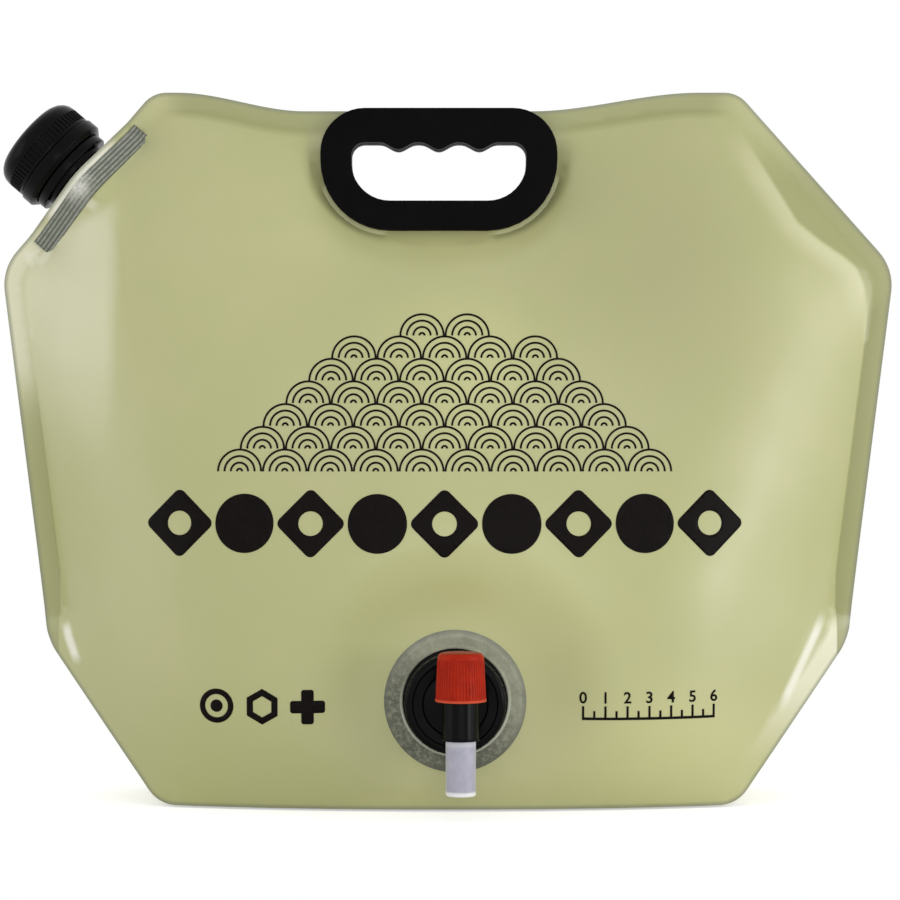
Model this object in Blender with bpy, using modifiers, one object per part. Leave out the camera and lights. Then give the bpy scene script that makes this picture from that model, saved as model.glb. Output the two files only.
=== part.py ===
"""Collapsible water carrier: a stand-up film bag of about eight litres with a
clamped two-piece carry handle, a screw-capped filler spout welded into its upper
left corner and a quarter-turn tap on its front.

Metres, +Z up, the front with the tap faces -Y. The origin is the middle of the
underside of the base. The bag is modelled full and standing.
"""

import math

import bmesh
import bpy
import numpy as np
from mathutils import Matrix, Vector
from mathutils.geometry import delaunay_2d_cdt

# Clearances and overruns shared by all pieces
SEAT_GAP = 0.0003  # between pieces that touch when assembled
OVERRUN = 0.002  # how far a cutter passes the faces that it cuts
SINK = 0.0005  # how deep a joined shape starts inside the shape that carries it

# Film bag
FILM = 0.0005  # laminated film, one layer
TOP_Z = 0.3325  # highest point of the top edge, near the corners
TOP_SAG = 0.0088  # how far the handle holds the middle of the top edge down
SAG_START_LEFT_X = 0.068  # where the top edge starts to rise towards the spout
SAG_END_LEFT_X = 0.128  # and where it is fully risen
SAG_START_RIGHT_X = 0.040
SAG_END_RIGHT_X = 0.119
TOP_CORNER_X = 0.1372
SPOUT_CORNER_X = 0.1398  # the top corner on the spout's side lies a little further out
SIDE_CORNER_X = 0.2114
SIDE_CORNER_Z = 0.2490
KNEE_X = 0.1891  # where the side seam meets the gusset's slanted seam
KNEE_Z = 0.0736
BASE_CORNER_X = 0.1326
TOP_FILLET = 0.014
SIDE_FILLET = 0.024
KNEE_FILLET = 0.026
BASE_FILLET = 0.016
WELD_WIDTH = 0.009  # flat welded border
BASE_CORNER_DEPTH = 0.036  # half depth of the base at its corners
BASE_BOW = 0.0155  # how much deeper the base is in the middle
BELLY_DEPTH = 0.0570  # half thickness of the full bag at its belly
BELLY_Z = 0.125
CROWN_POWER = 1.7  # above 1 the film stands up steeply at its welds and is flat between them
KNEE_SPREAD_HEIGHT = 0.045  # height over which the panels part to let the gusset in
EDGE_STEP = 0.0200  # spacing of mesh points along the border
FILL_STEP = 0.0265  # spacing of mesh points across a panel
GUSSET_START_DEPTH = 0.0022  # half depth of the bag where the gusset's ends start
GUSSET_ROLL = 0.016  # run over which the gusset rolls from its weld down to the floor
ROLL_SHARES = (0.28, 0.62, 1.0)  # points of that roll
FLOOR_SHARES = (0.5,)  # points across half of the flat floor

# Carry handle
HANDLE_X = -0.0043
HANDLE_WIDTH = 0.1118
HANDLE_HEIGHT = 0.0576
HANDLE_RISE = 0.0008  # how far the handle stands above the film's sagging top edge
HANDLE_TOP_RADIUS = 0.0210
HANDLE_BOTTOM_RADIUS = 0.0330
HANDLE_HALF_THICKNESS = 0.0058
HANDLE_EDGE_ROUND = 0.0022
GRIP_WIDTH = 0.0826
GRIP_HEIGHT = 0.0275
GRIP_TOP_BAR = 0.0162  # plastic above the opening
GRIP_TOP_RADIUS = 0.0062
GRIP_BOTTOM_RADIUS = 0.0182
FINGER_SPAN_SHARE = 0.82  # of the straight upper edge of the opening
FINGER_DEPTH = 0.0033
FINGER_BUMPS = 3
PIN_RADIUS = 0.0015
PIN_REACH = 0.0030  # how far a pin enters the front half
PIN_INSET = 0.0075  # from the handle's outer edge to the pins
LIP_WALL = 0.0014

# Filler spout, along its own axis from the film's slanted edge outwards
SPOUT_SHIFT = 0.0013  # from the middle of the slanted edge towards the top corner
CANOE_HALF_LENGTH = 0.0330
CANOE_ROUND = 0.0158  # radius of the swell round the bore
CANOE_TIP = 0.0008  # half thickness of the tips
CANOE_OUTER = -0.0024  # face nearest the film's edge
CANOE_HEIGHT = 0.0098
NECK_BORE_RADIUS = 0.0142
NECK_BASE_RADIUS = 0.0172
NECK_RADIUS = 0.0182
NECK_TOP = 0.0248
SPOUT_RING_RADIUS = 0.0212
SPOUT_RING_BOTTOM = 0.0029
SPOUT_RING_TOP = 0.0070
BEAD_RADIUS = 0.0198
BEAD_BOTTOM = 0.0108
BEAD_HEIGHT = 0.0016
BAND_BOTTOM = 0.0073
BAND_TOP = 0.0143
BAND_RADIUS = 0.0241
BAND_CHAMFER = 0.0019
CAP_BOTTOM = 0.0147
CAP_SHOULDER = 0.0302  # top of the cap's rounded edge
CAP_DOME = 0.0014
CAP_RADIUS = 0.0233
CAP_EDGE_ROUND = 0.0075
CAP_WALL = 0.0028
CAP_CEILING = 0.0028
CAP_LEDGE = 0.0022  # the ledge that holds the liner lies this far below the ceiling
CAP_RECESS_RADIUS = 0.0168
CAP_RIBS = 48
CAP_RIB_DEPTH = 0.0006
LINER_THICKNESS = 0.0012

# Tap, outwards from the middle plane of the bag
TAP_X = 0.0033
STEM_OFFSET = 0.0024  # the barrel stands this far to the right of the collar's axis
TAP_Z = 0.0497
TAP_SEAT_DEPTH = 0.0525  # inner face of the film where the tap's flange is welded
FLANGE_RADIUS = 0.0316
FLANGE_THICKNESS = 0.0018
SHOULDER_RADIUS = 0.0236
SHOULDER_HEIGHT = 0.0016  # stands this far proud of the film
TAP_NECK_RADIUS = 0.0188
TAP_NECK_BORE = 0.0164
TAP_NECK_LENGTH = 0.0088
WASHER_THICKNESS = 0.0012
PLATE_THICKNESS = 0.0018
COLLAR_RADIUS = 0.0226
COLLAR_WALL = 0.0028
COLLAR_LIP = 0.0017
COLLAR_EDGE_ROUND = 0.0022
COLLAR_RECESS = 0.0005
COLLAR_RECESS_RADIUS = 0.0192
HUB_RADIUS = 0.0142
SKIRT_WALL = 0.0014
SKIRT_LENGTH = 0.0050
INLET_DROP = 0.0055  # the inlet lies this far below the collar's axis
INLET_RADIUS = 0.0066
INLET_BORE = 0.0045
BARREL_CLEAR = 0.0013  # between the knob and the collar's face
BARREL_RADIUS = 0.0080
STEM_RADIUS = 0.00665
STEM_BORE = 0.0049
BARREL_BOTTOM_Z = 0.0353
BARREL_TOP_Z = 0.0672
OUTLET_Z = 0.0110
STEM_BORE_TOP_Z = 0.0500
PORT_RADIUS = 0.0038
SEAL_RADIUS = 0.0005
SEAL_SPACING = 0.0075  # from the port's axis to each seal
POST_HALF_WIDTH = 0.0030
POST_HEIGHT = 0.0026
KNOB_BOTTOM_Z = 0.0525
KNOB_TOP_Z = 0.0744
KNOB_TOP_RADIUS = 0.0103
KNOB_BOTTOM_RADIUS = 0.0111
KNOB_EDGE_ROUND = 0.0024
KNOB_CROWN = 0.0006
KNOB_FOOT = 0.0013  # plain band round the knob's lower edge
KNOB_RIBS = 36
KNOB_RIB_DEPTH = 0.0003

# How finely round shapes are cut
NECK_STEPS = 36
FINE_STEPS = 24
PIN_STEPS = 8
CAP_EDGE_STEPS = 3
ARC_STEPS = 4
SEAL_SIDES = 6
ROUND_SHARE = 0.3  # where a rounded edge's middle points lie
DOME_SHARE = 0.4  # radius of a dome's flat middle

# Values worked out from the sizes above
HANDLE_TOP_Z = TOP_Z - TOP_SAG + HANDLE_RISE
FINGER_SPAN = (GRIP_WIDTH - 2 * GRIP_TOP_RADIUS) * FINGER_SPAN_SHARE
FINGER_PITCH = FINGER_SPAN / FINGER_BUMPS
SEAM = SEAT_GAP / 2  # inner face of a panel from the middle plane, in the welds
CLAMP = SEAM + FILM + SEAT_GAP  # inner face of each handle half
LAYER_SHIFT = FILM + 2 * SEAT_GAP  # how far the gusset parts the panels at the knees
CHAMFER_MIDDLE = Vector(((SPOUT_CORNER_X + SIDE_CORNER_X) / 2, 0, (TOP_Z + SIDE_CORNER_Z) / 2))
CHAMFER_RUN = Vector((SIDE_CORNER_X - SPOUT_CORNER_X, 0, SIDE_CORNER_Z - TOP_Z)).normalized()
SPOUT_ALONG = Vector((-CHAMFER_RUN.x, 0, CHAMFER_RUN.z))  # down along the slanted edge
SPOUT_ORIGIN = Vector((-CHAMFER_MIDDLE.x, 0, CHAMFER_MIDDLE.z)) - SPOUT_ALONG * SPOUT_SHIFT
SPOUT_AXIS = Vector((SPOUT_ALONG.z, 0, -SPOUT_ALONG.x))  # outwards, to the upper left
FILM_FACE = TAP_SEAT_DEPTH + FILM
SHOULDER_FACE = FILM_FACE + SHOULDER_HEIGHT
TAP_NECK_TOP = SHOULDER_FACE + TAP_NECK_LENGTH
WASHER_BACK = TAP_NECK_TOP + SEAT_GAP
PLATE_BACK = WASHER_BACK + WASHER_THICKNESS + SEAT_GAP
PLATE_FRONT = PLATE_BACK + PLATE_THICKNESS
COLLAR_FRONT = PLATE_FRONT + SEAT_GAP + COLLAR_LIP
STEM_DEPTH = COLLAR_FRONT + BARREL_CLEAR + KNOB_BOTTOM_RADIUS + KNOB_RIB_DEPTH
INLET_Z = TAP_Z - INLET_DROP
STEM_X = TAP_X + STEM_OFFSET


def linear(hex_value):
    """Linear colour of an sRGB hex value."""
    channels = [int(hex_value[i : i + 2], 16) / 255 for i in (0, 2, 4)]
    return [c / 12.92 if c <= 0.04045 else ((c + 0.055) / 1.055) ** 2.4 for c in channels]


def make_material(name, hex_value, roughness, alpha=1.0):
    material = bpy.data.materials.new(name)
    material.use_nodes = True
    shader = material.node_tree.nodes["Principled BSDF"]
    shader.inputs["Base Color"].default_value = (*linear(hex_value), 1.0)
    shader.inputs["Roughness"].default_value = roughness
    shader.inputs["Metallic"].default_value = 0.0
    shader.inputs["Alpha"].default_value = alpha
    return material


def clear_scene():
    for obj in list(bpy.data.objects):
        bpy.data.objects.remove(obj)


def make_collection(name):
    collection = bpy.data.collections.new(name)
    bpy.context.scene.collection.children.link(collection)
    return collection


def add_object(name, mesh, material=None, matrix=None):
    """Puts a mesh in the scene as a part or, with no material, as a hidden helper."""
    obj = bpy.data.objects.new(name, mesh)
    if material:
        PARTS.objects.link(obj)
        mesh.materials.append(material)
    else:
        HELPERS.objects.link(obj)
        obj.hide_render = True
        obj.display_type = "WIRE"
    if matrix:
        obj.matrix_world = matrix
    return obj


def boolean(obj, operation, other):
    modifier = obj.modifiers.new(f"{operation.lower()} {other.name}", "BOOLEAN")
    modifier.operation = operation
    modifier.object = other


def solidify(obj, thickness, offset, even=True):
    modifier = obj.modifiers.new("film thickness", "SOLIDIFY")
    modifier.thickness = thickness
    modifier.offset = offset
    modifier.use_even_offset = even


def smooth(mesh):
    mesh.shade_smooth()
    mesh.set_sharp_from_angle(angle=math.radians(35))


def turned_mesh(name, profile, closed):
    """A turned piece's outline: (radius, height) points, down the outer side first."""
    mesh = bpy.data.meshes.new(name)
    count = len(profile)
    edges = [(i, (i + 1) % count) for i in range(count if closed else count - 1)]
    mesh.from_pydata([(r, 0, z) for r, z in profile], edges, [])
    return mesh


def turned(name, profile, steps, material=None, matrix=None, closed=True):
    obj = add_object(name, turned_mesh(name, profile, closed), material, matrix)
    screw = obj.modifiers.new("turning", "SCREW")
    screw.steps = screw.render_steps = steps
    screw.use_merge_vertices = True
    screw.merge_threshold = SEAT_GAP / 30
    screw.use_smooth_shade = True
    return obj


def rod(name, radius, low, high, steps, matrix):
    """A helper cylinder along its own Z, turned half a step so that no edges coincide."""
    placed = matrix @ Matrix.Rotation(math.pi / steps, 4, "Z")
    return turned(name, [(0, high), (radius, high), (radius, low), (0, low)], steps,
                  None, placed, closed=False)


def lofted(name, rings, material=None, matrix=None):
    """A closed body through rings of as many points each, capped at both ends."""
    count = len(rings[0])
    points = [p for ring in rings for p in ring]
    faces = [list(range(count)), list(range(len(points) - 1, len(points) - count - 1, -1))]
    for level in range(len(rings) - 1):
        low = level * count
        high = low + count
        for i in range(count):
            j = (i + 1) % count
            faces.append([low + j, low + i, high + i, high + j])
    mesh = bpy.data.meshes.new(name)
    mesh.from_pydata(points, [], faces)
    form = bmesh.new()
    form.from_mesh(mesh)
    bmesh.ops.recalc_face_normals(form, faces=form.faces)
    form.to_mesh(mesh)
    form.free()
    smooth(mesh)
    return add_object(name, mesh, material, matrix)


def ribbed_ring(radius, height, ribs, depth):
    """A round of points two to a rib, whose valleys are cut to the given depth."""
    count = 2 * ribs
    return [
        (
            (radius - depth * (i % 2)) * math.cos(2 * math.pi * i / count),
            (radius - depth * (i % 2)) * math.sin(2 * math.pi * i / count),
            height,
        )
        for i in range(count)
    ]


def fillet_arc(before, corner, after, radius, steps):
    """Points of a rounded corner, from the side of before to the side of after."""
    u = (before - corner).normalized()
    v = (after - corner).normalized()
    half = u.angle(v) / 2
    reach = radius / math.tan(half)
    centre = corner + (u + v).normalized() * radius / math.sin(half)
    first = corner + u * reach - centre
    last = corner + v * reach - centre
    turn = first.angle_signed(last)
    points = []
    for i in range(steps + 1):
        arm = first.copy()
        arm.rotate(Matrix.Rotation(-turn * i / steps, 2))
        points.append(centre + arm)
    return points


def rounded_outline(corners, step):
    """A closed outline through filleted corners, with points along its straight runs."""
    arcs = []
    for i, (corner, radius) in enumerate(corners):
        before = Vector(corners[i - 1][0])
        after = Vector(corners[(i + 1) % len(corners)][0])
        arcs.append(fillet_arc(before, Vector(corner), after, radius, ARC_STEPS))
    points = []
    for i, arc in enumerate(arcs):
        points += arc
        start = arc[-1]
        end = arcs[(i + 1) % len(arcs)][0]
        pieces = max(1, round((end - start).length / step))
        points += [start.lerp(end, k / pieces) for k in range(1, pieces)]
    return points


def offset_outline(points, distance):
    """A counter-clockwise closed outline moved outwards by distance."""
    moved = []
    for i, point in enumerate(points):
        run = (points[(i + 1) % len(points)] - points[i - 1]).normalized()
        moved.append(point + Vector((run.y, -run.x)) * distance)
    return moved


def round_hole(x, z, radius, steps):
    angles = [2 * math.pi * i / steps for i in range(steps)]
    return [Vector((x + radius * math.cos(a), z + radius * math.sin(a))) for a in angles]


# Outlines in the bag's plane, as x and z


def canoe_half_thickness(along):
    """Half thickness of the spout's welded foot: a round swell with straight wings."""
    tip = CANOE_HALF_LENGTH
    away = abs(along)
    # The wing is the line from the tip that touches the swell.
    reach = math.hypot(tip, CANOE_TIP)
    touch = math.acos(CANOE_ROUND / reach) + math.atan2(CANOE_TIP, tip)
    touch_along = CANOE_ROUND * math.cos(touch)
    touch_thick = CANOE_ROUND * math.sin(touch)
    if away <= touch_along:
        return math.sqrt(CANOE_ROUND**2 - away**2)
    return touch_thick + (CANOE_TIP - touch_thick) * (away - touch_along) / (tip - touch_along)


CANOE_SHARES = (-1.0, -0.75, -0.48, -0.32, -0.16, 0.0, 0.16, 0.32, 0.48, 0.75, 1.0)


def top_sag(x):
    start, end = (SAG_START_LEFT_X, SAG_END_LEFT_X) if x < 0 else (SAG_START_RIGHT_X, SAG_END_RIGHT_X)
    rise = min(max((abs(x) - start) / (end - start), 0.0), 1.0)
    return TOP_SAG * (1 - rise * rise * (3 - 2 * rise))


def bag_outline():
    """The film's border, counter-clockwise from the base's right corner."""
    right = [
        ((BASE_CORNER_X, FILM), BASE_FILLET),
        ((KNEE_X, KNEE_Z), KNEE_FILLET),
        ((SIDE_CORNER_X, SIDE_CORNER_Z), SIDE_FILLET),
        ((TOP_CORNER_X, TOP_Z), TOP_FILLET),
    ]
    left = [((-x, z), radius) for (x, z), radius in reversed(right[:-1])]
    spout_corner = ((-SPOUT_CORNER_X, TOP_Z), TOP_FILLET)
    points = rounded_outline(right + [spout_corner] + left, EDGE_STEP)
    origin = Vector((SPOUT_ORIGIN.x, SPOUT_ORIGIN.z))
    along = Vector((SPOUT_ALONG.x, SPOUT_ALONG.z))
    outward = Vector((SPOUT_AXIS.x, SPOUT_AXIS.z))
    tip_zone = CANOE_HALF_LENGTH + WELD_WIDTH / 2

    def on_canoe(p):
        arm = p - origin
        return abs(arm.dot(outward)) < SEAT_GAP and abs(arm.dot(along)) < tip_zone

    kept = [p for p in points if not on_canoe(p)]
    ahead = [i for i, p in enumerate(kept) if p.x < 0 and (p - origin).dot(along) < 0 and p.y > SIDE_CORNER_Z]
    place = max(ahead) + 1
    stations = [origin + along * (CANOE_HALF_LENGTH * share) for share in CANOE_SHARES]
    points = kept[:place] + stations + kept[place:]
    return [Vector((p.x, p.y - top_sag(p.x))) if p.y > TOP_Z - SEAT_GAP else p for p in points]


def weld_line(outline):
    """The inner edge of the welded border, point for point with the outline."""
    origin = Vector((SPOUT_ORIGIN.x, SPOUT_ORIGIN.z))
    along = Vector((SPOUT_ALONG.x, SPOUT_ALONG.z))
    outward = Vector((SPOUT_AXIS.x, SPOUT_AXIS.z))
    inner = offset_outline(outline, -WELD_WIDTH)
    depth = CANOE_HEIGHT - CANOE_OUTER + SEAT_GAP
    for i, p in enumerate(outline):
        arm = p - origin
        if abs(arm.dot(outward)) < SEAT_GAP and abs(arm.dot(along)) < CANOE_HALF_LENGTH + SEAT_GAP:
            inner[i] = p - outward * depth
    return inner


def handle_outline():
    left = HANDLE_X - HANDLE_WIDTH / 2
    right = HANDLE_X + HANDLE_WIDTH / 2
    bottom = HANDLE_TOP_Z - HANDLE_HEIGHT
    corners = [
        ((left, bottom), HANDLE_BOTTOM_RADIUS),
        ((right, bottom), HANDLE_BOTTOM_RADIUS),
        ((right, HANDLE_TOP_Z), HANDLE_TOP_RADIUS),
        ((left, HANDLE_TOP_Z), HANDLE_TOP_RADIUS),
    ]
    return rounded_outline(corners, HANDLE_WIDTH)


def grip_outline():
    """The hand opening, with finger bumps along its upper edge."""
    left = HANDLE_X - GRIP_WIDTH / 2
    right = HANDLE_X + GRIP_WIDTH / 2
    top = HANDLE_TOP_Z - GRIP_TOP_BAR
    bottom = top - GRIP_HEIGHT
    corners = [
        ((left, bottom), GRIP_BOTTOM_RADIUS),
        ((right, bottom), GRIP_BOTTOM_RADIUS),
        ((right, top), GRIP_TOP_RADIUS),
        ((left, top), GRIP_TOP_RADIUS),
    ]
    points = rounded_outline(corners, GRIP_WIDTH)
    half_span = FINGER_SPAN / 2
    samples = 6 * FINGER_BUMPS
    bumps = []
    for i in range(samples + 1):
        x = half_span - 2 * half_span * i / samples
        wave = (1 - math.cos(2 * math.pi * (x + half_span) / FINGER_PITCH)) / 2
        bumps.append(Vector((HANDLE_X + x, top - FINGER_DEPTH * wave**1.3)))
    place = 3 * (ARC_STEPS + 1)
    return points[:place] + bumps + points[place:]


def pin_places():
    """Centres of the snap pins, spread round the handle between film and edge."""
    left = HANDLE_X - HANDLE_WIDTH / 2 + PIN_INSET
    right = HANDLE_X + HANDLE_WIDTH / 2 - PIN_INSET
    bottom = HANDLE_TOP_Z - HANDLE_HEIGHT + PIN_INSET
    top = HANDLE_TOP_Z - GRIP_TOP_BAR / 2 - PIN_RADIUS
    side = HANDLE_TOP_Z - HANDLE_TOP_RADIUS
    quarter = (right - left) / 4
    return [
        (left, side),
        (right, side),
        (left + quarter, bottom),
        (HANDLE_X, bottom),
        (right - quarter, bottom),
        (left + quarter, top),
        (HANDLE_X, top),
        (right - quarter, top),
    ]


# Film panels


def inside(points, loop):
    """Which points lie inside a closed loop."""
    found = np.zeros(len(points), bool)
    x, z = points[:, 0], points[:, 1]
    for a, b in zip(loop, loop[1:] + loop[:1]):
        crosses = (a.y > z) != (b.y > z)
        rise = b.y - a.y if b.y != a.y else 1.0
        found ^= crosses & (x < a.x + (z - a.y) * (b.x - a.x) / rise)
    return found


def distance_to_loop(points, loop):
    best = np.full(len(points), np.inf)
    for a, b in zip(loop, loop[1:] + loop[:1]):
        start = np.array(a)
        run = np.array(b) - start
        share = np.clip((points - start) @ run / max(run @ run, SEAT_GAP**2), 0, 1)
        gap = np.linalg.norm(points - start - share[:, None] * run, axis=1)
        best = np.minimum(best, gap)
    return best


def triangulate(loops, outer, holes, step):
    """Triangles between the loops, with points a step apart filling the open areas."""
    across = np.arange(-SIDE_CORNER_X, SIDE_CORNER_X, step)
    rows = np.arange(FILM, TOP_Z, step * math.sqrt(3) / 2)
    grid = np.array([(x + (r % 2) * step / 2, z) for r, z in enumerate(rows) for x in across])
    for loop in loops:
        grid = grid[distance_to_loop(grid, loop) > step * 0.55]
    points = [p for loop in loops for p in loop]
    edges = []
    first = 0
    for loop in loops:
        edges += [(first + i, first + (i + 1) % len(loop)) for i in range(len(loop))]
        first += len(loop)
    points += [Vector(p) for p in grid]
    made = delaunay_2d_cdt(points, edges, [], 0, SEAT_GAP / 100)
    flat = np.array([tuple(p) for p in made[0]])
    triangles = np.array([list(f) for f in made[2]])
    middles = flat[triangles].mean(axis=1)
    keep = inside(middles, outer)
    for hole in holes:
        keep &= ~inside(middles, hole)
    triangles = triangles[keep]
    used, index = np.unique(triangles, return_inverse=True)
    return flat[used], index.reshape(-1, 3)


def stiffness(flat, triangles):
    """A membrane's stiffness matrix and the area that loads each point."""
    count = len(flat)
    matrix = np.zeros((count, count))
    load = np.zeros(count)
    for k in range(3):
        a, b, c = triangles[:, k], triangles[:, (k + 1) % 3], triangles[:, (k + 2) % 3]
        u, v = flat[a] - flat[c], flat[b] - flat[c]
        cross = u[:, 0] * v[:, 1] - u[:, 1] * v[:, 0]
        weight = (u * v).sum(axis=1) / cross / 2
        np.add.at(matrix, (a, b), -weight)
        np.add.at(matrix, (b, a), -weight)
        np.add.at(matrix, (a, a), weight)
        np.add.at(matrix, (b, b), weight)
        np.add.at(load, a, cross / 6)
    return matrix, load


def border_depth(point):
    """Half thickness of the bag at a point of its border."""
    origin = Vector((SPOUT_ORIGIN.x, SPOUT_ORIGIN.z))
    arm = Vector(point) - origin
    along = arm.dot(Vector((SPOUT_ALONG.x, SPOUT_ALONG.z)))
    outward = arm.dot(Vector((SPOUT_AXIS.x, SPOUT_AXIS.z)))
    if outward > -(CANOE_HEIGHT - CANOE_OUTER + 2 * SEAT_GAP):
        if abs(along) < CANOE_HALF_LENGTH + SEAT_GAP:
            return canoe_half_thickness(along) + SEAT_GAP
    z = point[1]
    spread = min(max((KNEE_Z + KNEE_SPREAD_HEIGHT - z) / KNEE_SPREAD_HEIGHT, 0.0), 1.0)
    seam = SEAM + LAYER_SHIFT * spread
    if z >= KNEE_Z:
        return seam
    if z > FILM + SEAT_GAP:
        share = (KNEE_Z - z) / (KNEE_Z - FILM)
        return seam + (BASE_CORNER_DEPTH - seam) * share
    return BASE_CORNER_DEPTH + BASE_BOW * max(0.0, 1 - (point[0] / BASE_CORNER_X) ** 2)


def held_depth(flat, outline, inner, with_tap):
    """Depth where the film is held, and not a number where it is free."""
    depth = np.full(len(flat), np.nan)
    on_border = distance_to_loop(flat, outline) < SEAT_GAP / 2
    on_weld = distance_to_loop(flat, inner) < SEAT_GAP / 2
    above_knee = flat[:, 1] > KNEE_Z + KNEE_FILLET / 2
    held = on_border | (on_weld & above_knee)
    held |= inside(flat, outline) & ~inside(flat, inner) & above_knee & ~on_weld
    for i in np.flatnonzero(held):
        depth[i] = border_depth(flat[i])
    clamp = offset_outline(handle_outline(), HANDLE_EDGE_ROUND)
    depth[inside(flat, clamp) | (distance_to_loop(flat, clamp) < SEAT_GAP / 2)] = SEAM
    if with_tap:
        away = np.hypot(flat[:, 0] - TAP_X, flat[:, 1] - TAP_Z)
        depth[away < FLANGE_RADIUS + 4 * SEAT_GAP] = TAP_SEAT_DEPTH
    return depth


def inflate(flat, triangles, held):
    """Depth of a film under even pressure, held where held is a number."""
    matrix, load = stiffness(flat, triangles)
    free = np.isnan(held)
    fixed = ~free
    sides = np.column_stack([-matrix[np.ix_(free, fixed)] @ held[fixed], load[free]])
    slack, swell = np.linalg.solve(matrix[np.ix_(free, free)], sides).T
    swell = 1 - (1 - swell / swell.max()) ** CROWN_POWER
    belly = np.argmin(np.hypot(flat[free, 0] - KNEE_X / 3, flat[free, 1] - BELLY_Z))
    pressure = (BELLY_DEPTH - slack[belly]) / swell[belly]
    depth = held.copy()
    depth[free] = slack + pressure * swell
    return depth


def depth_along(loop, flat, depth):
    """Depth of the inflated film at each point of a loop that its mesh holds."""
    return [depth[np.argmin(np.hypot(flat[:, 0] - p.x, flat[:, 1] - p.y))] for p in loop]


def film_panel(name, side, with_tap):
    """One face of the bag, bulging towards side. Returns its border and weld depths."""
    outline = bag_outline()
    inner = weld_line(outline)
    holes = [offset_outline(grip_outline(), 2 * LIP_WALL)]
    holes += [round_hole(x, z, PIN_RADIUS + SEAT_GAP, PIN_STEPS) for x, z in pin_places()]
    loops = [outline, inner, offset_outline(handle_outline(), HANDLE_EDGE_ROUND)] + holes
    if with_tap:
        rim = round_hole(TAP_X, TAP_Z, FLANGE_RADIUS + 3 * SEAT_GAP, NECK_STEPS // 2)
        hole = round_hole(TAP_X, TAP_Z, SHOULDER_RADIUS + SEAT_GAP, NECK_STEPS)
        loops += [rim, hole]
        holes.append(hole)
    flat, triangles = triangulate(loops, outline, holes, FILL_STEP)
    depth = inflate(flat, triangles, held_depth(flat, outline, inner, with_tap))
    mesh = bpy.data.meshes.new(name)
    points = [(x, side * d, z) for (x, z), d in zip(flat, depth)]
    faces = triangles if side < 0 else triangles[:, ::-1]
    mesh.from_pydata(points, [], faces.tolist())
    smooth(mesh)
    solidify(add_object(name, mesh, FILM_MATERIAL), FILM, 1.0)
    report_volume(name, flat, triangles, depth)
    return outline, inner, depth_along(outline, flat, depth), depth_along(inner, flat, depth)


def report_volume(name, flat, triangles, depth):
    a, b, c = (flat[triangles[:, k]] for k in range(3))
    areas = ((b - a)[:, 0] * (c - a)[:, 1] - (b - a)[:, 1] * (c - a)[:, 0]) / 2
    litres = (areas * depth[triangles].mean(axis=1)).sum() * 1000
    print(f"{name}: {litres:.2f} litres, deepest {depth.max() * 1000:.1f} mm")


def gusset_section(outer, weld, front, rear):
    """Points across the gusset at one station, from the front border to the rear one."""
    (front_outer, front_weld), (rear_outer, rear_weld) = front, rear
    down = outer - weld
    points = [(outer.x, -front_outer, outer.y), (weld.x, -front_weld, weld.y)]
    half = (front_weld + rear_weld) / 2
    roll = min(GUSSET_ROLL, half * 0.8)
    fall = down * min(1.0, half / GUSSET_ROLL)
    runs = [roll * share for share in ROLL_SHARES]
    runs += [roll + (half - roll) * share for share in FLOOR_SHARES] + [half]
    ways = [(run, 1 - (1 - min(run / roll, 1.0)) ** 2) for run in runs]
    across = [(-front_weld + run, drop) for run, drop in ways]
    across += [(rear_weld - run, drop) for run, drop in reversed(ways[:-1])]
    for y, drop in across:
        place = weld + fall * drop
        points.append((place.x, y, place.y))
    return points + [(weld.x, rear_weld, weld.y), (outer.x, rear_outer, outer.y)]


def bottom_gusset(front, rear):
    """The folded film that makes the base, between the two panels' lower borders."""
    outline, inner, front_outer, front_weld = front
    rear_outer, rear_weld = rear[2], rear[3]
    apart = 2 * SEAT_GAP
    stations = [
        i
        for i, p in enumerate(outline)
        if p.y < KNEE_Z and min(front_outer[i], rear_outer[i]) > GUSSET_START_DEPTH
    ]
    stations.sort(key=lambda i: outline[i].x)
    rows = []
    for i in stations:
        front_depths = (front_outer[i] - apart, front_weld[i] - apart)
        rear_depths = (rear_outer[i] - apart, rear_weld[i] - apart)
        rows.append(gusset_section(outline[i], inner[i], front_depths, rear_depths))
    count = len(rows[0])
    points = [p for row in rows for p in row]
    faces = []
    for i in range(len(rows) - 1):
        for j in range(count - 1):
            a = i * count + j
            square = [a, a + count, a + count + 1, a + 1]
            faces += split_clear(points, square) if j in (0, count - 2) else [square]
    mesh = bpy.data.meshes.new("bottom_gusset")
    mesh.from_pydata(points, [], faces)
    smooth(mesh)
    solidify(add_object("bottom_gusset", mesh, FILM_MATERIAL), FILM, -1.0, even=False)


def split_clear(points, square):
    """Two triangles of a border square, cut on the diagonal further from the panel."""
    a, b, c, d = square
    first = abs(points[a][1] + points[c][1])
    second = abs(points[b][1] + points[d][1])
    return [[a, b, c], [a, c, d]] if first < second else [[a, b, d], [b, c, d]]


# Carry handle


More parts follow.
